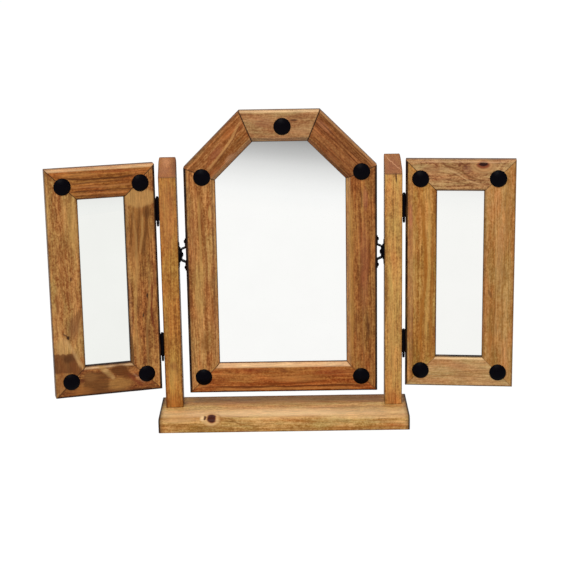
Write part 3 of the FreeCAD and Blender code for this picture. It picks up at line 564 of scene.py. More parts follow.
LOOKS = {
    "base_plinth": Look(7.0, 0.25, (-30, -90), 22, 0.010, 0.9, 0.9, (
        # painted shade: the back of the top, under and behind the centre mirror, darker and more orange
        Mark(215, 25, 260, 5, "#8a5223", 0.55, z=-100, half_z=30, soft=0.4),
        # painted highlight along the right part of the nose
        Mark(370, 24, 80, 4, "#ecc796", 0.35, z=-6, half_z=6),
        Mark(38, 24, 32, 6, "#d6a56c", 0.6, z=-6, half_z=14),
        Mark(210, 25, 130, 4, "#e2c092", 0.4, z=-24, half_z=20),
        Mark(91, 22, 17, 13, "#a3703b", 0.6, soft=0.12, z=-8, half_z=20),
        Mark(89, 22.5, 15.5, 11.5, "#e2b67a", 0.75, soft=0.2, bulge=7, z=-8, half_z=18),
        Mark(91, 23, 8.5, 8.5, "#8c4526", 0.9, soft=0.2, z=-9, half_z=15),
        Mark(91, 23, 7, 7, "#3a120c", 0.95, soft=0.15, z=-9, half_z=13),
        Mark(75, 23, 4, 4, "#ecc894", 0.8, z=-8, half_z=9),
        Mark(79.5, 23.5, 2.4, 2.6, "#4c1d10", 0.9, soft=0.3, z=-8, half_z=8),
        Mark(405, 9, 14, 3, "#a8602f", 0.5),
    ), (
        Vein(((105, 20), (127, 18.5), (146, 13.5), (175, 11)), 0.9, "#87561f", 0.7),
        Vein(((20, 14), (60, 13), (90, 11), (130, 9)), 1.5, "#a06a30", 0.5),
        Vein(((180, 6), (300, 5), (420, 7)), 1.2, "#a06830", 0.5),
        Vein(((230, 17), (330, 18), (420, 16)), 1.0, "#9c6d35", 0.4),
    )),
    "left_post": Look(5.0, 0.2, (60, 40), 12, 0.006, 0.9, 0.9, (
        Mark(60, 15, 24, 7, "#b98a48", 0.45), Mark(76, 16, 7, 6, "#8f5024", 0.45),
        Mark(350, 14, 60, 14, "#a4663c", 0.4), Mark(6, 15, 16, 16, "#98501e", 0.5),
        Mark(424, 27, 14, 4, "#5f3722", 0.6, soft=0.8), Mark(430, 13, 7, 6, "#b98058", 0.5),
        Mark(418, 10, 5, 7, "#94603f", 0.6),
    )),
    "right_post": Look(5.0, 0.2, (-50, 46), 10, 0.006, 0.9, 0.9, (
        Mark(402, 19.5, 8, 1.1, "#4f2a12", 0.9, soft=0.4), Mark(9, 13, 18, 9, "#a65f2c", 0.5),
        Mark(120, 12, 60, 6, "#c2944f", 0.4), Mark(420, 15, 12, 14, "#84503a", 0.5, soft=0.8),
        Mark(428, 10, 9, 0.8, "#c08c66", 0.7, turn=-48),
        Mark(422, 17, 9, 0.8, "#c08c66", 0.6, turn=-52),
        Mark(417, 24, 6, 0.8, "#b88460", 0.6, turn=-50),
    )),
    "centre_bottom_rail": Look(6.0, 0.2, (90, 42), 14, 0.008, 0.8, 0.8, (
        Mark(185, 23, 40, 6, "#b5773c", 0.55), Mark(165, 38, 7, 3, "#6b2e0d", 0.6),
        Mark(250, 34, 32, 6, "#8f3d1c", 0.45), Mark(112, 39, 18, 4, "#7a3512", 0.5),
    ), (
        Vein(((12, 11), (60, 10), (150, 9.5), (240, 10.5), (316, 10)), 1.7, "#5c2a08", 0.85, 0.5),
        Vein(((26, 5.5), (160, 6), (312, 5.5)), 1.8, "#b07439", 0.7),
        Vein(((60, 17), (150, 15), (250, 18)), 1.2, "#7f4315", 0.45),
    )),
    "centre_right_stile": Look(6.0, 0.25, (60, 36), 14, 0.008, 0.9, 0.9, (
        Mark(118, 15.5, 16, 4.5, "#4c2a10", 0.45, soft=0.8), Mark(225, 22, 75, 7, "#9a5a3c", 0.4),
        Mark(117, 16, 6, 1.8, "#331709", 0.55, soft=0.7), Mark(340, 20, 18, 4, "#a5624a", 0.4),
    ), (
        Vein(((84, 33), (104, 35), (124, 36), (150, 35)), 1.3, "#683a1a", 0.5),
        Vein(((86, 22), (104, 17), (126, 17), (150, 19)), 1.4, "#5e3315", 0.5),
        Vein(((30, 45), (200, 44), (370, 46)), 3.4, "#b0803f", 0.55),
        Vein(((150, 31), (230, 28), (330, 33)), 1.3, "#7d4822", 0.5),
        Vein(((322, 27), (338, 26), (358, 28)), 1.0, "#5f3216", 0.7),
        Vein(((40, 22), (110, 25), (190, 20)), 1.3, "#84502a", 0.45),
    )),
    "centre_right_arch_rail": Look(4.0, 0.3, (-30, 40), 8, 0.004, 0.7, 0.9, (
        Mark(110, 15, 14, 4, "#a26b4a", 0.4), Mark(60, 44, 16, 3, "#a0693c", 0.4),
    ), (
        Vein(((2, 4.2), (70, 4.4), (133, 4)), 1.2, "#5a2c0c", 0.75),
        Vein(((8, 13), (70, 15), (125, 13)), 1.0, "#633514", 0.5),
        Vein(((14, 22), (70, 20), (120, 24)), 1.1, "#633514", 0.5),
        Vein(((18, 31), (60, 33), (118, 30)), 1.0, "#633514", 0.45),
        Vein(((22, 39), (70, 38), (112, 41)), 1.1, "#6a3a18", 0.5),
    )),
    "centre_top_rail": Look(6.5, 0.2, (30, 60), 18, 0.012, 0.9, 0.7, (
        Mark(43.7, 16.1, 6.5, 1.9, "#54301a", 0.85, soft=0.4, bulge=2),
        Mark(95, 20, 16, 8, "#94603f", 0.5), Mark(30, 34, 18, 6, "#b0865a", 0.4),
    )),
    "centre_left_arch_rail": Look(5.0, 0.2, (80, 40), 12, 0.010, 0.9, 0.8, (
        Mark(67, 45, 10, 5, "#b98a63", 0.5), Mark(40, 13, 16, 5, "#a55c28", 0.5),
        Mark(78, 22, 14, 6, "#8a4f33", 0.45), Mark(100, 42, 12, 5, "#8c4a24", 0.45),
    ), (
        Vein(((4, 12), (50, 25), (114, 33)), 1.8, "#bf8c52", 0.6),
        Vein(((8, 15.5), (52, 28.5), (114, 36.5)), 1.0, "#6f3b16", 0.6),
        Vein(((20, 7), (70, 9), (125, 8)), 1.2, "#7d4519", 0.5),
    )),
    "centre_left_stile": Look(7.0, 0.25, (40, 36), 16, 0.008, 0.9, 0.9, (
        Mark(78, 43, 12, 3, "#c89c58", 0.6), Mark(220, 21, 62, 8, "#bd9150", 0.45),
        Mark(305, 29, 17, 7, "#80501f", 0.6), Mark(120, 12, 60, 5, "#9a6236", 0.4),
    ), (
        Vein(((34, 20), (100, 31), (180, 35), (260, 30)), 1.5, "#80491f", 0.6),
        Vein(((20, 16), (80, 20), (150, 16), (230, 13)), 1.2, "#8d5527", 0.5),
        Vein(((40, 24), (110, 25), (210, 27)), 2.2, "#c59652", 0.5),
        Vein(((296, 10), (322, 9), (350, 11)), 1.2, "#693a16", 0.6),
        Vein(((150, 44), (260, 41), (370, 44)), 1.6, "#8c5a2a", 0.5),
    )),
    "left_wing_outer_stile": Look(9.0, 0.15, (20, 30), 30, 0.020, 1.0, 0.7, (
        Mark(92, 42, 44, 9, "#b08c4c", 0.5), Mark(228, 10, 18, 3.5, "#80451c", 0.65),
        Mark(272, 36, 20, 10, "#764a28", 0.7, turn=-14, soft=0.7),
        Mark(253, 45, 12, 4, "#6d4019", 0.6, turn=-10),
        Mark(306, 15, 15, 11, "#c29559", 0.65, soft=0.4),
        Mark(188, 35.5, 3, 1.7, "#6a3c1c", 0.9, soft=0.4),
        Mark(289.5, 25, 3.6, 2.4, "#2c1407", 0.95, soft=0.3, bulge=3),
        Mark(285, 20.5, 6, 1.2, "#4d2b13", 0.75, turn=40),
        Mark(372, 22, 32, 30, "#8a5527", 0.6), Mark(336, 48, 10, 4, "#9c5c28", 0.5),
        Mark(335, 15, 17, 22, "#683a17", 0.85, soft=0.1, square=True, turn=-3),
        Mark(346, 36, 14, 9, "#6f3e19", 0.75, turn=24, soft=0.2),
        Mark(327, 24, 7, 9, "#4c270c", 0.65),
    ), (
        Vein(((286, 12), (294, 20), (318, 34), (350, 49)), 3.2, "#c79a62", 0.6, 0.9),
        Vein(((120, 14), (180, 20), (240, 17)), 1.4, "#92602f", 0.5),
        Vein(((250, 8), (268, 7), (286, 9)), 1.3, "#7d4419", 0.6),
        Vein(((30, 24), (90, 27), (170, 23)), 1.8, "#93622f", 0.4),
    )),
    "left_wing_bottom_rail": Look(8.0, 0.15, (20, 24), 26, 0.02, 0.9, 0.6, (
        Mark(36, 12, 16, 12, "#9c5f28", 0.5), Mark(108, 17, 22, 12, "#aa783c", 0.65, soft=0.5),
        Mark(70, 22, 21, 18, "#6f421a", 0.85, soft=0.12, square=True, turn=-6),
        Mark(60, 34, 12, 8, "#8a5c2e", 0.6), Mark(48, 8, 14, 7, "#9a5f2a", 0.6),
        Mark(112, 41, 16, 9.5, "#61330e", 0.9, soft=0.25, turn=-12),
        Mark(122, 32, 10, 7, "#6b3810", 0.7, soft=0.4, turn=-40),
        Mark(86, 43, 19, 4.8, "#ad814a", 0.85, turn=-48, soft=0.5),
        Mark(87.5, 43, 4.6, 3.4, "#c79c64", 0.5), Mark(99, 30, 3.6, 3.6, "#c3965c", 0.5),
        Mark(137, 21, 17, 3.0, "#77371a", 0.75, turn=-44, soft=0.6),
        Mark(143, 24, 12, 1.8, "#b07a58", 0.6, turn=-44, soft=0.6),
    ), (
        Vein(((20, 4), (90, 3), (170, 4)), 1.2, "#54300f", 0.6),
        Vein(((80, 2.4), (130, 2.2), (190, 2.4)), 1.6, "#2c1408", 0.7),
    )),
    "left_wing_inner_stile": Look(7.0, 0.2, (70, 34), 20, 0.012, 0.9, 0.9, (
        Mark(285, 30, 52, 24, "#80511f", 0.65, soft=0.6),
        Mark(341, 27, 17, 27, "#ba8c50", 0.7, soft=0.18),
        Mark(136, 29, 3.6, 1.4, "#3d200e", 0.9, soft=0.4),
        Mark(170, 20.5, 4.4, 1.8, "#2b1408", 0.92, soft=0.4),
        Mark(72, 50, 30, 2.4, "#4c2c10", 0.75), Mark(240, 40, 30, 6, "#a8733c", 0.4),
        Mark(316, 16, 10, 7, "#5a340f", 0.6),
    ), (
        Vein(((236, 25), (270, 21), (300, 17), (332, 15)), 2.6, "#5c3410", 0.7),
        Vein(((236, 36), (275, 33), (305, 29), (332, 28)), 1.8, "#673c16", 0.65),
        Vein(((250, 46), (285, 43), (330, 38)), 1.7, "#673c16", 0.6),
        Vein(((240, 30), (275, 26), (318, 22)), 1.6, "#b08248", 0.6),
        Vein(((108, 11), (132, 13.5), (168, 13), (200, 10)), 1.5, "#6a2b10", 0.85, 0.5),
        Vein(((178, 6), (205, 7), (232, 5)), 1.6, "#84401f", 0.7),
        Vein(((20, 38), (120, 42), (240, 36), (330, 40)), 2.4, "#b08248", 0.55),
        Vein(((10, 20), (90, 24), (180, 16), (240, 18)), 2.0, "#ac7f45", 0.5),
        Vein(((60, 33), (130, 36), (220, 30)), 1.1, "#754720", 0.55),
    )),
    "left_wing_top_rail": Look(5.0, 0.15, (-40, 60), 8, 0.004, 0.7, 0.7, (
        Mark(130, 11, 30, 4, "#ad7238", 0.6), Mark(60, 7, 20, 2.5, "#8f3f16", 0.5),
    ), (
        Vein(((22, 16), (60, 18), (110, 19), (162, 15)), 1.6, "#542806", 0.85, 0.5),
        Vein(((30, 8), (70, 8.5), (120, 7)), 1.1, "#8a4217", 0.6),
        Vein(((28, 25), (90, 24), (150, 26)), 1.4, "#5f2f0b", 0.65),
        Vein(((25, 31), (85, 32), (150, 31)), 1.6, "#b0733e", 0.55),
        Vein(((25, 39), (85, 38.5), (150, 40)), 1.3, "#5a2c0a", 0.75),
        Vein(((40, 43.5), (100, 43), (145, 44)), 1.2, "#ab6d3c", 0.5),
        Vein(((44, 47), (90, 47.5), (142, 46)), 1.2, "#5a2c0a", 0.75),
    )),
    "right_wing_outer_stile": Look(5.0, 0.2, (60, 40), 16, 0.010, 0.7, 0.7, (
        Mark(166, 40, 8, 2.6, "#7d4e22", 0.75, turn=25, soft=0.35),
        Mark(80, 40, 24, 4, "#a8682c", 0.5),
        Mark(230, 24, 60, 5, "#b0804f", 0.4), Mark(320, 14, 40, 5, "#a06c36", 0.4),
    ), (
        Vein(((40, 16), (150, 20), (280, 15), (370, 18)), 1.6, "#96652f", 0.45),
        Vein(((60, 31), (190, 30), (330, 34)), 1.4, "#bd9058", 0.45),
    )),
    "right_wing_bottom_rail": Look(8.0, 0.2, (20, 44), 16, 0.012, 0.7, 0.6, (
        Mark(92, 37, 14, 7, "#a8754a", 0.5), Mark(96, 20, 9, 7, "#a87a4c", 0.45),
    ), (
        Vein(((30, 17), (90, 18), (155, 16)), 0.9, "#956537", 0.6),
        Vein(((34, 29), (92, 27), (150, 30)), 0.8, "#9d6e40", 0.5),
        Vein(((60, 10), (120, 9), (165, 11)), 1.0, "#a37143", 0.45),
    )),
    "right_wing_inner_stile": Look(7.0, 0.2, (20, 36), 14, 0.008, 0.7, 0.9, (
        Mark(170, 22, 11, 2.6, "#84501c", 0.65, soft=0.4), Mark(200, 9, 170, 5, "#b07a52", 0.4),
        Mark(96, 9, 20, 3, "#b3644a", 0.45),
    ), (
        Vein(((44, 27), (100, 30), (190, 35), (270, 28), (360, 25)), 3.2, "#9b5c18", 0.75),
        Vein(((70, 49), (180, 46), (365, 44)), 2.6, "#9a5f20", 0.6),
        Vein(((30, 38), (150, 41), (240, 38), (340, 36)), 2.6, "#c39550", 0.5),
        Vein(((60, 19), (160, 17), (300, 20)), 1.5, "#97602a", 0.45),
    )),
    "right_wing_top_rail": Look(6.0, 0.3, (10, 34), 20, 0.018, 0.8, 0.6, (
        Mark(55, 9.5, 22, 15, "#8f5e36", 0.55, soft=0.2, bulge=9),
        Mark(55, 9.2, 20, 13.4, "#bd915f", 0.75, soft=0.2),
        Mark(55, 8.8, 16.5, 11.2, "#8a572f", 0.65, soft=0.15),
        Mark(55, 8.4, 14.8, 9.8, "#c2905c", 0.75, soft=0.15),
        Mark(55, 7.6, 11, 7, "#7a351c", 0.9, soft=0.25),
        Mark(54.5, 6.6, 7.5, 3.9, "#230806", 0.97, soft=0.25),
        Mark(82, 16, 7, 7, "#82543c", 0.5), Mark(140, 16, 14, 6, "#92613c", 0.5),
    ), (
        Vein(((2, 3.2), (90, 3), (182, 3.2)), 1.3, "#d0a27a", 0.45),
        Vein(((46, 36), (73, 30), (95, 17), (122, 8)), 1.5, "#744823", 0.7),
        Vein(((64, 46), (95, 38), (124, 31)), 1.3, "#7c4f29", 0.6),
        Vein(((70, 36), (100, 26), (140, 20)), 1.2, "#87582e", 0.55),
        Vein(((52, 41), (78, 35), (100, 22), (130, 13)), 1.4, "#c79b6a", 0.7),
    )),
}

# How the boards' edges look: outer edge and sight bevel from -1, held stain with painted shade, to 1,
# rubbed pale wood with painted highlight, how far in from the outer edge the dark reaches or the
# pale is palest, and the two end cuts.
Edges = namedtuple("Edges", "outer reach bevel cuts")
EDGES = {
    "centre_bottom_rail": Edges(-1.0, 1.6, 0.6, Cuts(0.7, 0.5)),
    "centre_right_stile": Edges(-1.0, 3.0, 0.15, Cuts(0.4, 0.7)),
    "centre_right_arch_rail": Edges(0.15, 0.0, -0.05, Cuts(0.7, 1.0)),
    "centre_top_rail": Edges(0.6, 0.0, 0.15, Cuts(1.0, 1.0)),
    "centre_left_arch_rail": Edges(-0.5, 2.0, 0.15, Cuts(1.0, 0.7)),
    "centre_left_stile": Edges(-1.0, 3.8, 0.05, Cuts(0.7, 0.7)),
    "left_wing_bottom_rail": Edges(-0.9, 2.4, 0.45, Cuts(0.7, 0.5)),
    "left_wing_inner_stile": Edges(-1.0, 3.0, 0.1, Cuts(0.5, 0.9)),
    "left_wing_top_rail": Edges(0.55, 1.0, -0.2, Cuts(0.9, 0.8)),
    "left_wing_outer_stile": Edges(-0.5, 0.4, -0.15, Cuts(0.8, 0.7)),
    "right_wing_bottom_rail": Edges(-0.8, 1.6, 0.7, Cuts(0.2, 0.2)),
    "right_wing_outer_stile": Edges(-0.4, 1.6, -0.3, Cuts(0.2, 0.4)),
    "right_wing_top_rail": Edges(-0.25, 0.4, -0.2, Cuts(0.4, 0.7)),
    "right_wing_inner_stile": Edges(-1.0, 3.4, -0.05, Cuts(0.7, 0.2)),
}


# ---- mitred frames --------------------------------------------------------------------

def moulding_outline(bevel):
    """Outline of the frames' moulding across and back."""
    back = FRAME_THICKNESS - NAIL_PROUD
    shelf = MEMBER_WIDTH - RABBET_WIDTH
    return rounded_outline([
        (0, 0, OUTER_ROUND, 8), (MEMBER_WIDTH - bevel, 0, 0.6, 3), (MEMBER_WIDTH, bevel, 0.4, 3),
        (MEMBER_WIDTH, LIP_DEPTH, 0, 0), (shelf, LIP_DEPTH, 0, 0), (shelf, back, 0.3, 1),
        (0, back, BACK_EASE, 3),
    ])


def edge_fields(outline, bevel, edges):
    """Held stain with painted shade, and rubbing with painted highlight, at each outline point, as ramps of its
    across and depth in mm.

    Stain and painted shade darken the lip and the quirk between bevel and glass, which lie in shade, the sides
    towards the back and, where the outer edge isn't rubbed, the face in from it.  Rubbing and painted highlight
    pale the outer edge and the bevel, mostly where they face the light from above.
    the outer edge isn't rubbed, in from it.
    """
    across, depth = outline[0][:, 0], outline[0][:, 1]
    arris = MEMBER_WIDTH - bevel
    front = depth < OUTER_ROUND
    side = across < 0.05
    in_lip = (across > MEMBER_WIDTH - RABBET_WIDTH - 0.05) & (depth > bevel - 0.05)
    on_bevel = (across > arris - 0.3) & (depth < bevel) & ~in_lip
    to_back = np.clip((depth - 10.0) / 5.0, 0, 1) * side
    near_outer = np.clip((edges.reach + 1.5 - across) / 1.5, 0, 1) * (front | side)
    from_sight = MEMBER_WIDTH - across
    quirk = np.clip(1.25 - from_sight / 1.2, 0, 1) * on_bevel
    by_arris = np.clip(1 - (arris - across) / 2.4, 0, 1) * front * (across <= arris)
    # held stain with painted shade, darkest in the lip and the quirk
    held_and_shaded = np.maximum.reduce([
        1.0 * in_lip, quirk, to_back * 0.8, near_outer * max(-edges.outer, 0),
        on_bevel * max(-edges.bevel, 0)])
    # the rub and its painted highlight are palest where the round meets the face, or further in by the edge's
    # reach
    palest = OUTER_ROUND - 0.7 + edges.reach
    crest = np.interp(across, [0.0, palest, palest + 2.2], [0.5, 1.0, 0.0]) * (front | side)
    rubbed_and_lit = np.maximum(crest * (1 - to_back) * max(edges.outer, 0),
                        np.maximum(on_bevel, by_arris * 0.8) * (1 - quirk) * max(edges.bevel, 0))
    return held_and_shaded, rubbed_and_lit


def frame_sides(outline):
    """For each side: start corner, unit vectors along and inwards, length and mitre slopes.

    A mitre steps by m = (w0 + w1) / (1 + w0 . w1) for each millimetre of inset, where w0
    and w1 are the inward vectors beside the corner, so a cut's slope is m . along.
    """
    corners = np.array(outline, float)
    ahead = np.roll(corners, -1, 0) - corners
    lengths = np.linalg.norm(ahead, axis=1)
    along = ahead / lengths[:, None]
    inward = np.stack([-along[:, 1], along[:, 0]], 1)
    before = np.roll(inward, 1, 0)
    mitres = (before + inward) / (1 + (before * inward).sum(1))[:, None]
    starts = (mitres * along).sum(1)
    ends = (np.roll(mitres, -1, 0) * along).sum(1)
    return corners, along, inward, lengths, starts, ends, mitres


def build_frame(prefix, body, outline, names, bevel, origin, turn, seed):
    """The mitred members of one mirror; turn takes the frame's own axes to the object's."""
    section = moulding_outline(bevel)
    corners, along, inward, lengths, starts, ends, _ = frame_sides(outline)

    def lift(flat):
        return turn @ np.array([flat[0], 0, flat[1]])
    for i, name in enumerate(names):
        node = prefix + name
        place = origin + lift(corners[i])
        a, w = lift(along[i]), lift(inward[i])
        material = pine(node, seed + i, place, a, w)
        milled_bar(node, "_board", body, material, place, (a, w, turn[:, 1]),
                   section, (0, starts[i], 0), (lengths[i], ends[i], 0),
                   edge_fields(section, bevel, EDGES[node]), seed + i, EDGES[node].cuts)


# ---- domed nails ----------------------------------------------------------------------

def studs(node, body, origin, turn, places, seed):
    """Black domed nails: each is the cap of a sphere over a short upright rim.

    The sphere's radius is bend = (radius^2 + rise^2) / (2 rise), so the height at r from the
    middle is rim + sqrt(bend^2 - r^2) - (bend - rise).  A hammered unevenness is taken off it:
    crossed sines between 0 and twice the dents' size.
    """
    rise = STUD_HEIGHT - STUD_RIM
    bend = (STUD_RADIUS ** 2 + rise ** 2) / (2 * rise)
    turns, rings = 56, 15
    radii = np.linspace(0, 1, rings)[1:] ** 0.8 * STUD_RADIUS
    heights = STUD_RIM + np.sqrt(bend ** 2 - radii ** 2) - (bend - rise)
    # in place of the last ring, the rim's softened upper edge, its side and its foot
    radii = np.concatenate([radii[:-1], [STUD_RADIUS - 0.12, STUD_RADIUS, STUD_RADIUS - 0.25]])
    heights = np.concatenate([heights[:-1], [STUD_RIM + 0.02, STUD_RIM - 0.2, 0.0]])
    angle = np.linspace(0, 2 * math.pi, turns, endpoint=False)
    r, t = np.meshgrid(radii, angle, indexing="ij")
    x, z = r * np.cos(t), r * np.sin(t)
    # the side's quads, a fan to the top and the foot, in the order that faces them outwards
    top, j = len(radii) * turns, np.arange(turns)
    one_nail = [ring_quads(len(radii), turns)[:, [1, 0, 3, 2]],
                np.stack([(j + 1) % turns, np.full(turns, top), j], -1),
                j[None, ::-1] + top - turns]
    rng = np.random.default_rng(seed)
    points, faces = [], []
    for i, (u, v) in enumerate(places):
        phase = rng.uniform(0, 6.28, 4)
        dents = STUD_DENTS / 2 * (np.sin(x * 0.55 + phase[0]) * np.sin(z * 0.6 + phase[1])
                                  + np.sin(x * 0.3 - z * 0.35 + phase[2]))
        h = heights[:, None] - (dents + STUD_DENTS) * (r < STUD_RADIUS - 0.5)
        points += [np.stack([u + x, -h, v + z], -1).reshape(-1, 3),
                   [[u, STUD_DENTS / 2 - STUD_HEIGHT, v]]]
        faces += [face for part in one_nail for face in (part + i * (top + 1)).tolist()]
    piece = new_piece(node + "_domes", np.concatenate(points) @ turn.T + origin, faces, body,
                      IRON, node)
    piece.data.polygons.foreach_set("use_smooth", np.ones(len(faces), bool))


# ---- centre mirror --------------------------------------------------------------------

STILL = np.eye(3)
bottom_low, bottom_high = mm_box("centre_bottom_rail")
_, shoulder = mm_box("centre_right_stile")
_, crown = mm_box("centre_top_rail")
half_width = bottom_high[0]
mirror_height, shoulder_height = crown[2] - bottom_low[2], shoulder[2] - bottom_low[2]
centre_outline = [
    (-half_width, 0), (half_width, 0), (half_width, shoulder_height), (crown[0], mirror_height),
    (-crown[0], mirror_height), (-half_width, shoulder_height)]
centre_names = ["bottom_rail", "right_stile", "right_arch_rail", "top_rail", "left_arch_rail",
                "left_stile"]
centre_origin = np.array([0, bottom_low[1], bottom_low[2]])
build_frame("centre_", "centre_mirror", centre_outline, centre_names, CENTRE_BEVEL,
            centre_origin, STILL, 10)
corners, *_, mitres = frame_sides(centre_outline)
middle = MEMBER_WIDTH / 2
centre_places = [corners[i] + mitres[i] * middle for i in (0, 1, 2, 5)]
centre_places.append(np.array([0, mirror_height - middle]))
studs("centre_studs", "centre_mirror", centre_origin, STILL,
      np.array(centre_places) + CENTRE_STUD_SHIFTS, 30)

# ---- wings ----------------------------------------------------------------------------

for side, sign in SIDES.items():
    prefix = side + "_wing_"
    pin = next(np.array(j["pos_m"]) / MM for j in frame["joints"] if j["child"] == side + "_wing")
    turn = np.array(Matrix.Rotation(math.radians(WING_OPEN[side]), 3, "Z"))
    low_z, high_z = mm_box(prefix + "bottom_rail")[0][2], mm_box(prefix + "top_rail")[1][2]
    height = high_z - low_z
    near, far = sorted((0.0, sign * WING_WIDTH))
    wing_outline = [(near, 0), (far, 0), (far, height), (near, height)]
    stiles = ["inner_stile", "outer_stile"] if sign < 0 else ["outer_stile", "inner_stile"]
    wing_origin = (np.array([pin[0], pin[1], low_z])
                   + turn @ np.array([sign * BARREL_RADIUS, 0.0, 0.0]))
    build_frame(prefix, side + "_wing", wing_outline,
                ["bottom_rail", stiles[0], "top_rail", stiles[1]], WING_BEVEL, wing_origin, turn,
                50 + 10 * sign)
    places = [(x, z) for x in (near + middle, far - middle) for z in (middle, height - middle)]
    studs(prefix + "studs", side + "_wing", wing_origin, turn,
          np.array(places) + WING_STUD_SHIFTS[side], 31 + sign)

# ---- stand ----------------------------------------------------------------------------

EAST, NORTH, UP = np.eye(3)
plinth_low, plinth_high = mm_box("base_plinth")
depth, thickness = (plinth_high - plinth_low)[1:]
plinth_outline = rounded_outline([
    (0, NAIL_PROUD, 0.8, 3), (depth, NAIL_PROUD, 0.8, 3), (depth, thickness, PLINTH_TAIL, 6),
    (0, thickness, PLINTH_NOSE, 12)], widest=10.0)
from_front, height = plinth_outline[0].T
on_top = np.clip((height - thickness + 3.0) / 3.0, 0, 1)
# in millimetres from the front or the foot: the top is paler behind the nose, and darker at the
# foot, along the tail and a little on the nose
plinth_paler = on_top * np.interp(from_front, [7, 10, 15, 24, 60], [0, 0.15, 0.5, 0.5, 0])
plinth_darker = np.maximum.reduce([
    np.clip(1 - height / 2.5, 0, 1) * 0.5, on_top * np.interp(from_front, [112, 118], [0, 0.8]),
    np.interp(height, [18, 20], [0, 1]) * np.interp(from_front, [6, 12], [0.16, 0])])
milled_bar("base_plinth", "_board", "stand",
           pine("base_plinth", 3, plinth_low, EAST, UP), plinth_low, (EAST, NORTH, UP),
           plinth_outline, (0, 0, 0), (plinth_high[0] - plinth_low[0], 0, 0),
           (plinth_darker, plinth_paler), 3, Cuts(0.95, 0.95, 5.5), arris=0.8, rim=0.06)


def soften_top(piece, low, high, left, right):
    """Planes a post's two upper arrises: (in, down) of each, drawn in as the square of depth."""
    mesh = piece.data
    spots = np.empty(len(mesh.vertices) * 3)
    mesh.vertices.foreach_get("co", spots)
    spots = spots.reshape(-1, 3)
    x, z = spots[:, 0] / MM - low[0], high[2] - spots[:, 2] / MM
    share = x / (high[0] - low[0])
    left_in = left[0] * np.clip(1 - z / left[1], 0, 1) ** 2
    right_in = right[0] * np.clip(1 - z / right[1], 0, 1) ** 2
    spots[:, 0] += (left_in * (1 - share) - right_in * share) * MM
    mesh.vertices.foreach_set("co", spots.ravel())
    mesh.update()


# how far in and how far down the wear of each post's left and right upper arris goes
TOP_WEAR = {"left": ((1.6, 10.0), (1.6, 10.0)), "right": ((0.6, 6.0), (3.2, 26.0))}
for side, sign in SIDES.items():
    node = side + "_post"
    low, high = mm_box(node)
    wide, deep, tall = high - low
    post_outline = rounded_outline([
        (u, v, POST_EASE, 4) for u, v in ((0, 0), (wide, 0), (wide, deep), (0, deep))])
    from_left, from_front = post_outline[0].T
    from_edge = np.minimum(from_left, wide - from_left)
    inner = from_left if sign > 0 else wide - from_left
    # darker on the two front arrises and at the back, and painted shade on the side by the mirror, where the
    # mirror's frame shades it
    post_darker_and_shaded = np.maximum.reduce([
        np.clip(1 - from_edge / 1.6, 0, 1) * (from_front < POST_EASE) * 0.8,
        (inner < 0.1) * np.clip(from_front / 3.0, 0, 1) * 0.6,
        np.clip((from_front - 26.0) / 4.0, 0, 1) * 0.6])
    # the top slopes down to the front at 45 degrees
    post = milled_bar(node, "_timber", "stand",
                      pine(node, 5 if side == "left" else 6, low, UP, EAST), low,
                      (UP, EAST, NORTH), post_outline, (0, 0, 0), (tall - deep, 0, 1.0),
                      (post_darker_and_shaded, post_darker_and_shaded * 0), 7 if side == "left" else 8,
                      Cuts(0.6, 0.4, 1.6), arris=0.5, rim=0.09)
    soften_top(post, low, high, *TOP_WEAR[side])

# ---- hardware, glass and backs --------------------------------------------------------

FINISHES = {"hardboard": BOARD_BACK, "black_iron": IRON, "zinc_steel": ZINC}
for row in frame["record"]["subparts"]:
    finish = GLASSES.get(row["node"]) or FINISHES.get(row["material_slot"])
    shown = frame["nodes"][row["node"]]
    if finish and not shown.hide_render:
        for holder in shown.material_slots:
            holder.material = finish

# ---- stage, light and camera ----------------------------------------------------------

def stage_sheet(name, corners, material):
    """A flat sheet of the stage through four corners in metres, seen but casting nothing."""
    mesh = bpy.data.meshes.new(name)
    mesh.from_pydata(corners, [], [(0, 1, 2, 3)])
    mesh.materials.append(material)
    sheet = bpy.data.objects.new(name, mesh)
    bpy.context.scene.collection.objects.link(sheet)
    sheet.visible_diffuse = False
    sheet.visible_shadow = False
    return sheet


# white paper lit from below like a light table, so that it stays white round the object
paper = new_material("backlit_white_paper", Base_Color=linear("#404040"), Roughness=0.9,
                     Specular_IOR_Level=0.0, Emission_Color=(1, 1, 1, 1),
                     Emission_Strength=0.985)[0]
stage_sheet("studio_floor", [(-20, -20, 0), (20, -20, 0), (20, 20, 0), (-20, 20, 0)], paper)

# a grey card that rises gently away in front of the object, seen only as the soft grey at
# the head of the centre glass: from white at its foot to grey at its top, greyer to the right
card_grey, tree, shader = new_material("grey_reflector_card", Base_Color=(0, 0, 0, 1),
                                       Specular_IOR_Level=0.0, Emission_Strength=1.058)
CARD_FOOT, CARD_RUN, CARD_RISE, CARD_HALF_WIDTH = 1.6, 0.8, 0.09, 0.7
CARD_LEAN = 0.42             # how much of its rise a metre to the right is worth in grey
place = add(tree, "SeparateXYZ", {0: add(tree, "TexCoord").outputs["Object"]})
rise = add(tree, "Math", {0: place.outputs["Z"], 1: 1 / CARD_RISE}, operation="MULTIPLY")
rise = add(tree, "Math", {0: place.outputs["X"], 1: CARD_LEAN, 2: rise}, operation="MULTIPLY_ADD")
grey = add(tree, "ValToRGB", {"Fac": rise}, stops=[
    (0.06, (1, 1, 1, 1)), (1.0, (0.253, 0.258, 0.263, 1)),
    *((position, (value * 0.99, value * 0.995, value, 1)) for position, value in (
        (0.24, 0.975), (0.38, 0.905), (0.5, 0.81), (0.585, 0.73), (0.65, 0.645), (0.72, 0.555),
        (0.88, 0.405)))])
tree.links.new(grey.outputs["Color"], shader.inputs["Emission Color"])
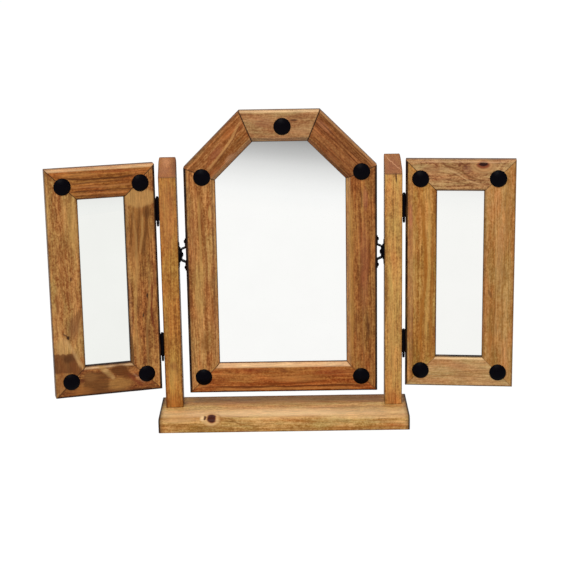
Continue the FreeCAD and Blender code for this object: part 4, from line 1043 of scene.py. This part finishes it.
card = stage_sheet("grey_card", [
    (-CARD_HALF_WIDTH, -CARD_FOOT, 0.0002), (CARD_HALF_WIDTH, -CARD_FOOT, 0.0002),
    (CARD_HALF_WIDTH, -CARD_FOOT - CARD_RUN, CARD_RISE),
    (-CARD_HALF_WIDTH, -CARD_FOOT - CARD_RUN, CARD_RISE)], card_grey)
card.visible_camera = False

# a white studio that lights softly, more from above, and is seen white
world = bpy.data.worlds.new("white_studio")
bpy.context.scene.world = world
world.use_nodes = True
tree = world.node_tree
up = add(tree, "SeparateXYZ", {0: add(tree, "TexCoord").outputs["Generated"]})
soft = add(tree, "MapRange", {
    "Value": up.outputs["Z"], "From Min": -0.6, "From Max": 0.6, "To Min": 0.42, "To Max": 0.78})
path = add(tree, "LightPath")
strength = add(tree, "Mix", {0: path.outputs["Is Camera Ray"], 2: soft, 3: 1.02})
tree.links.new(strength.outputs[0], tree.nodes["Background"].inputs["Strength"])
tree.nodes["Background"].inputs["Color"].default_value = (1, 1, 1, 1)


# a square softbox of a metre and 52 W, above and to the left, turned to the middle mirror
light = bpy.data.lights.new("key_softbox", "AREA")
light.shape, light.size, light.energy = "SQUARE", 1.0, 52
lamp = bpy.data.objects.new("key_softbox", light)
bpy.context.scene.collection.objects.link(lamp)
lamp.location = (-0.5, -1.8, 2.5)
lamp.rotation_euler = (Vector((0, 0, 0.25)) - lamp.location).to_track_quat("-Z", "Y").to_euler()
lamp.visible_camera = False

camera_data = bpy.data.cameras.new("camera")
camera = bpy.data.objects.new("camera", camera_data)
bpy.context.scene.collection.objects.link(camera)
bpy.context.scene.camera = camera
camera_data.sensor_width = 36.0
camera_data.lens = 102.223
camera.location = (0.016937, -2.669492, 0.961934)
PITCH, YAW, ROLL = math.radians(15.0585), math.radians(0.2526), math.radians(0.942)
camera.rotation_euler = (
    Matrix.Rotation(YAW, 3, "Z") @ Matrix.Rotation(-PITCH, 3, "X")
    @ Matrix.Rotation(ROLL, 3, "Y") @ Matrix.Rotation(math.pi / 2, 3, "X")).to_euler()

bpy.context.scene.view_settings.view_transform = "Standard"
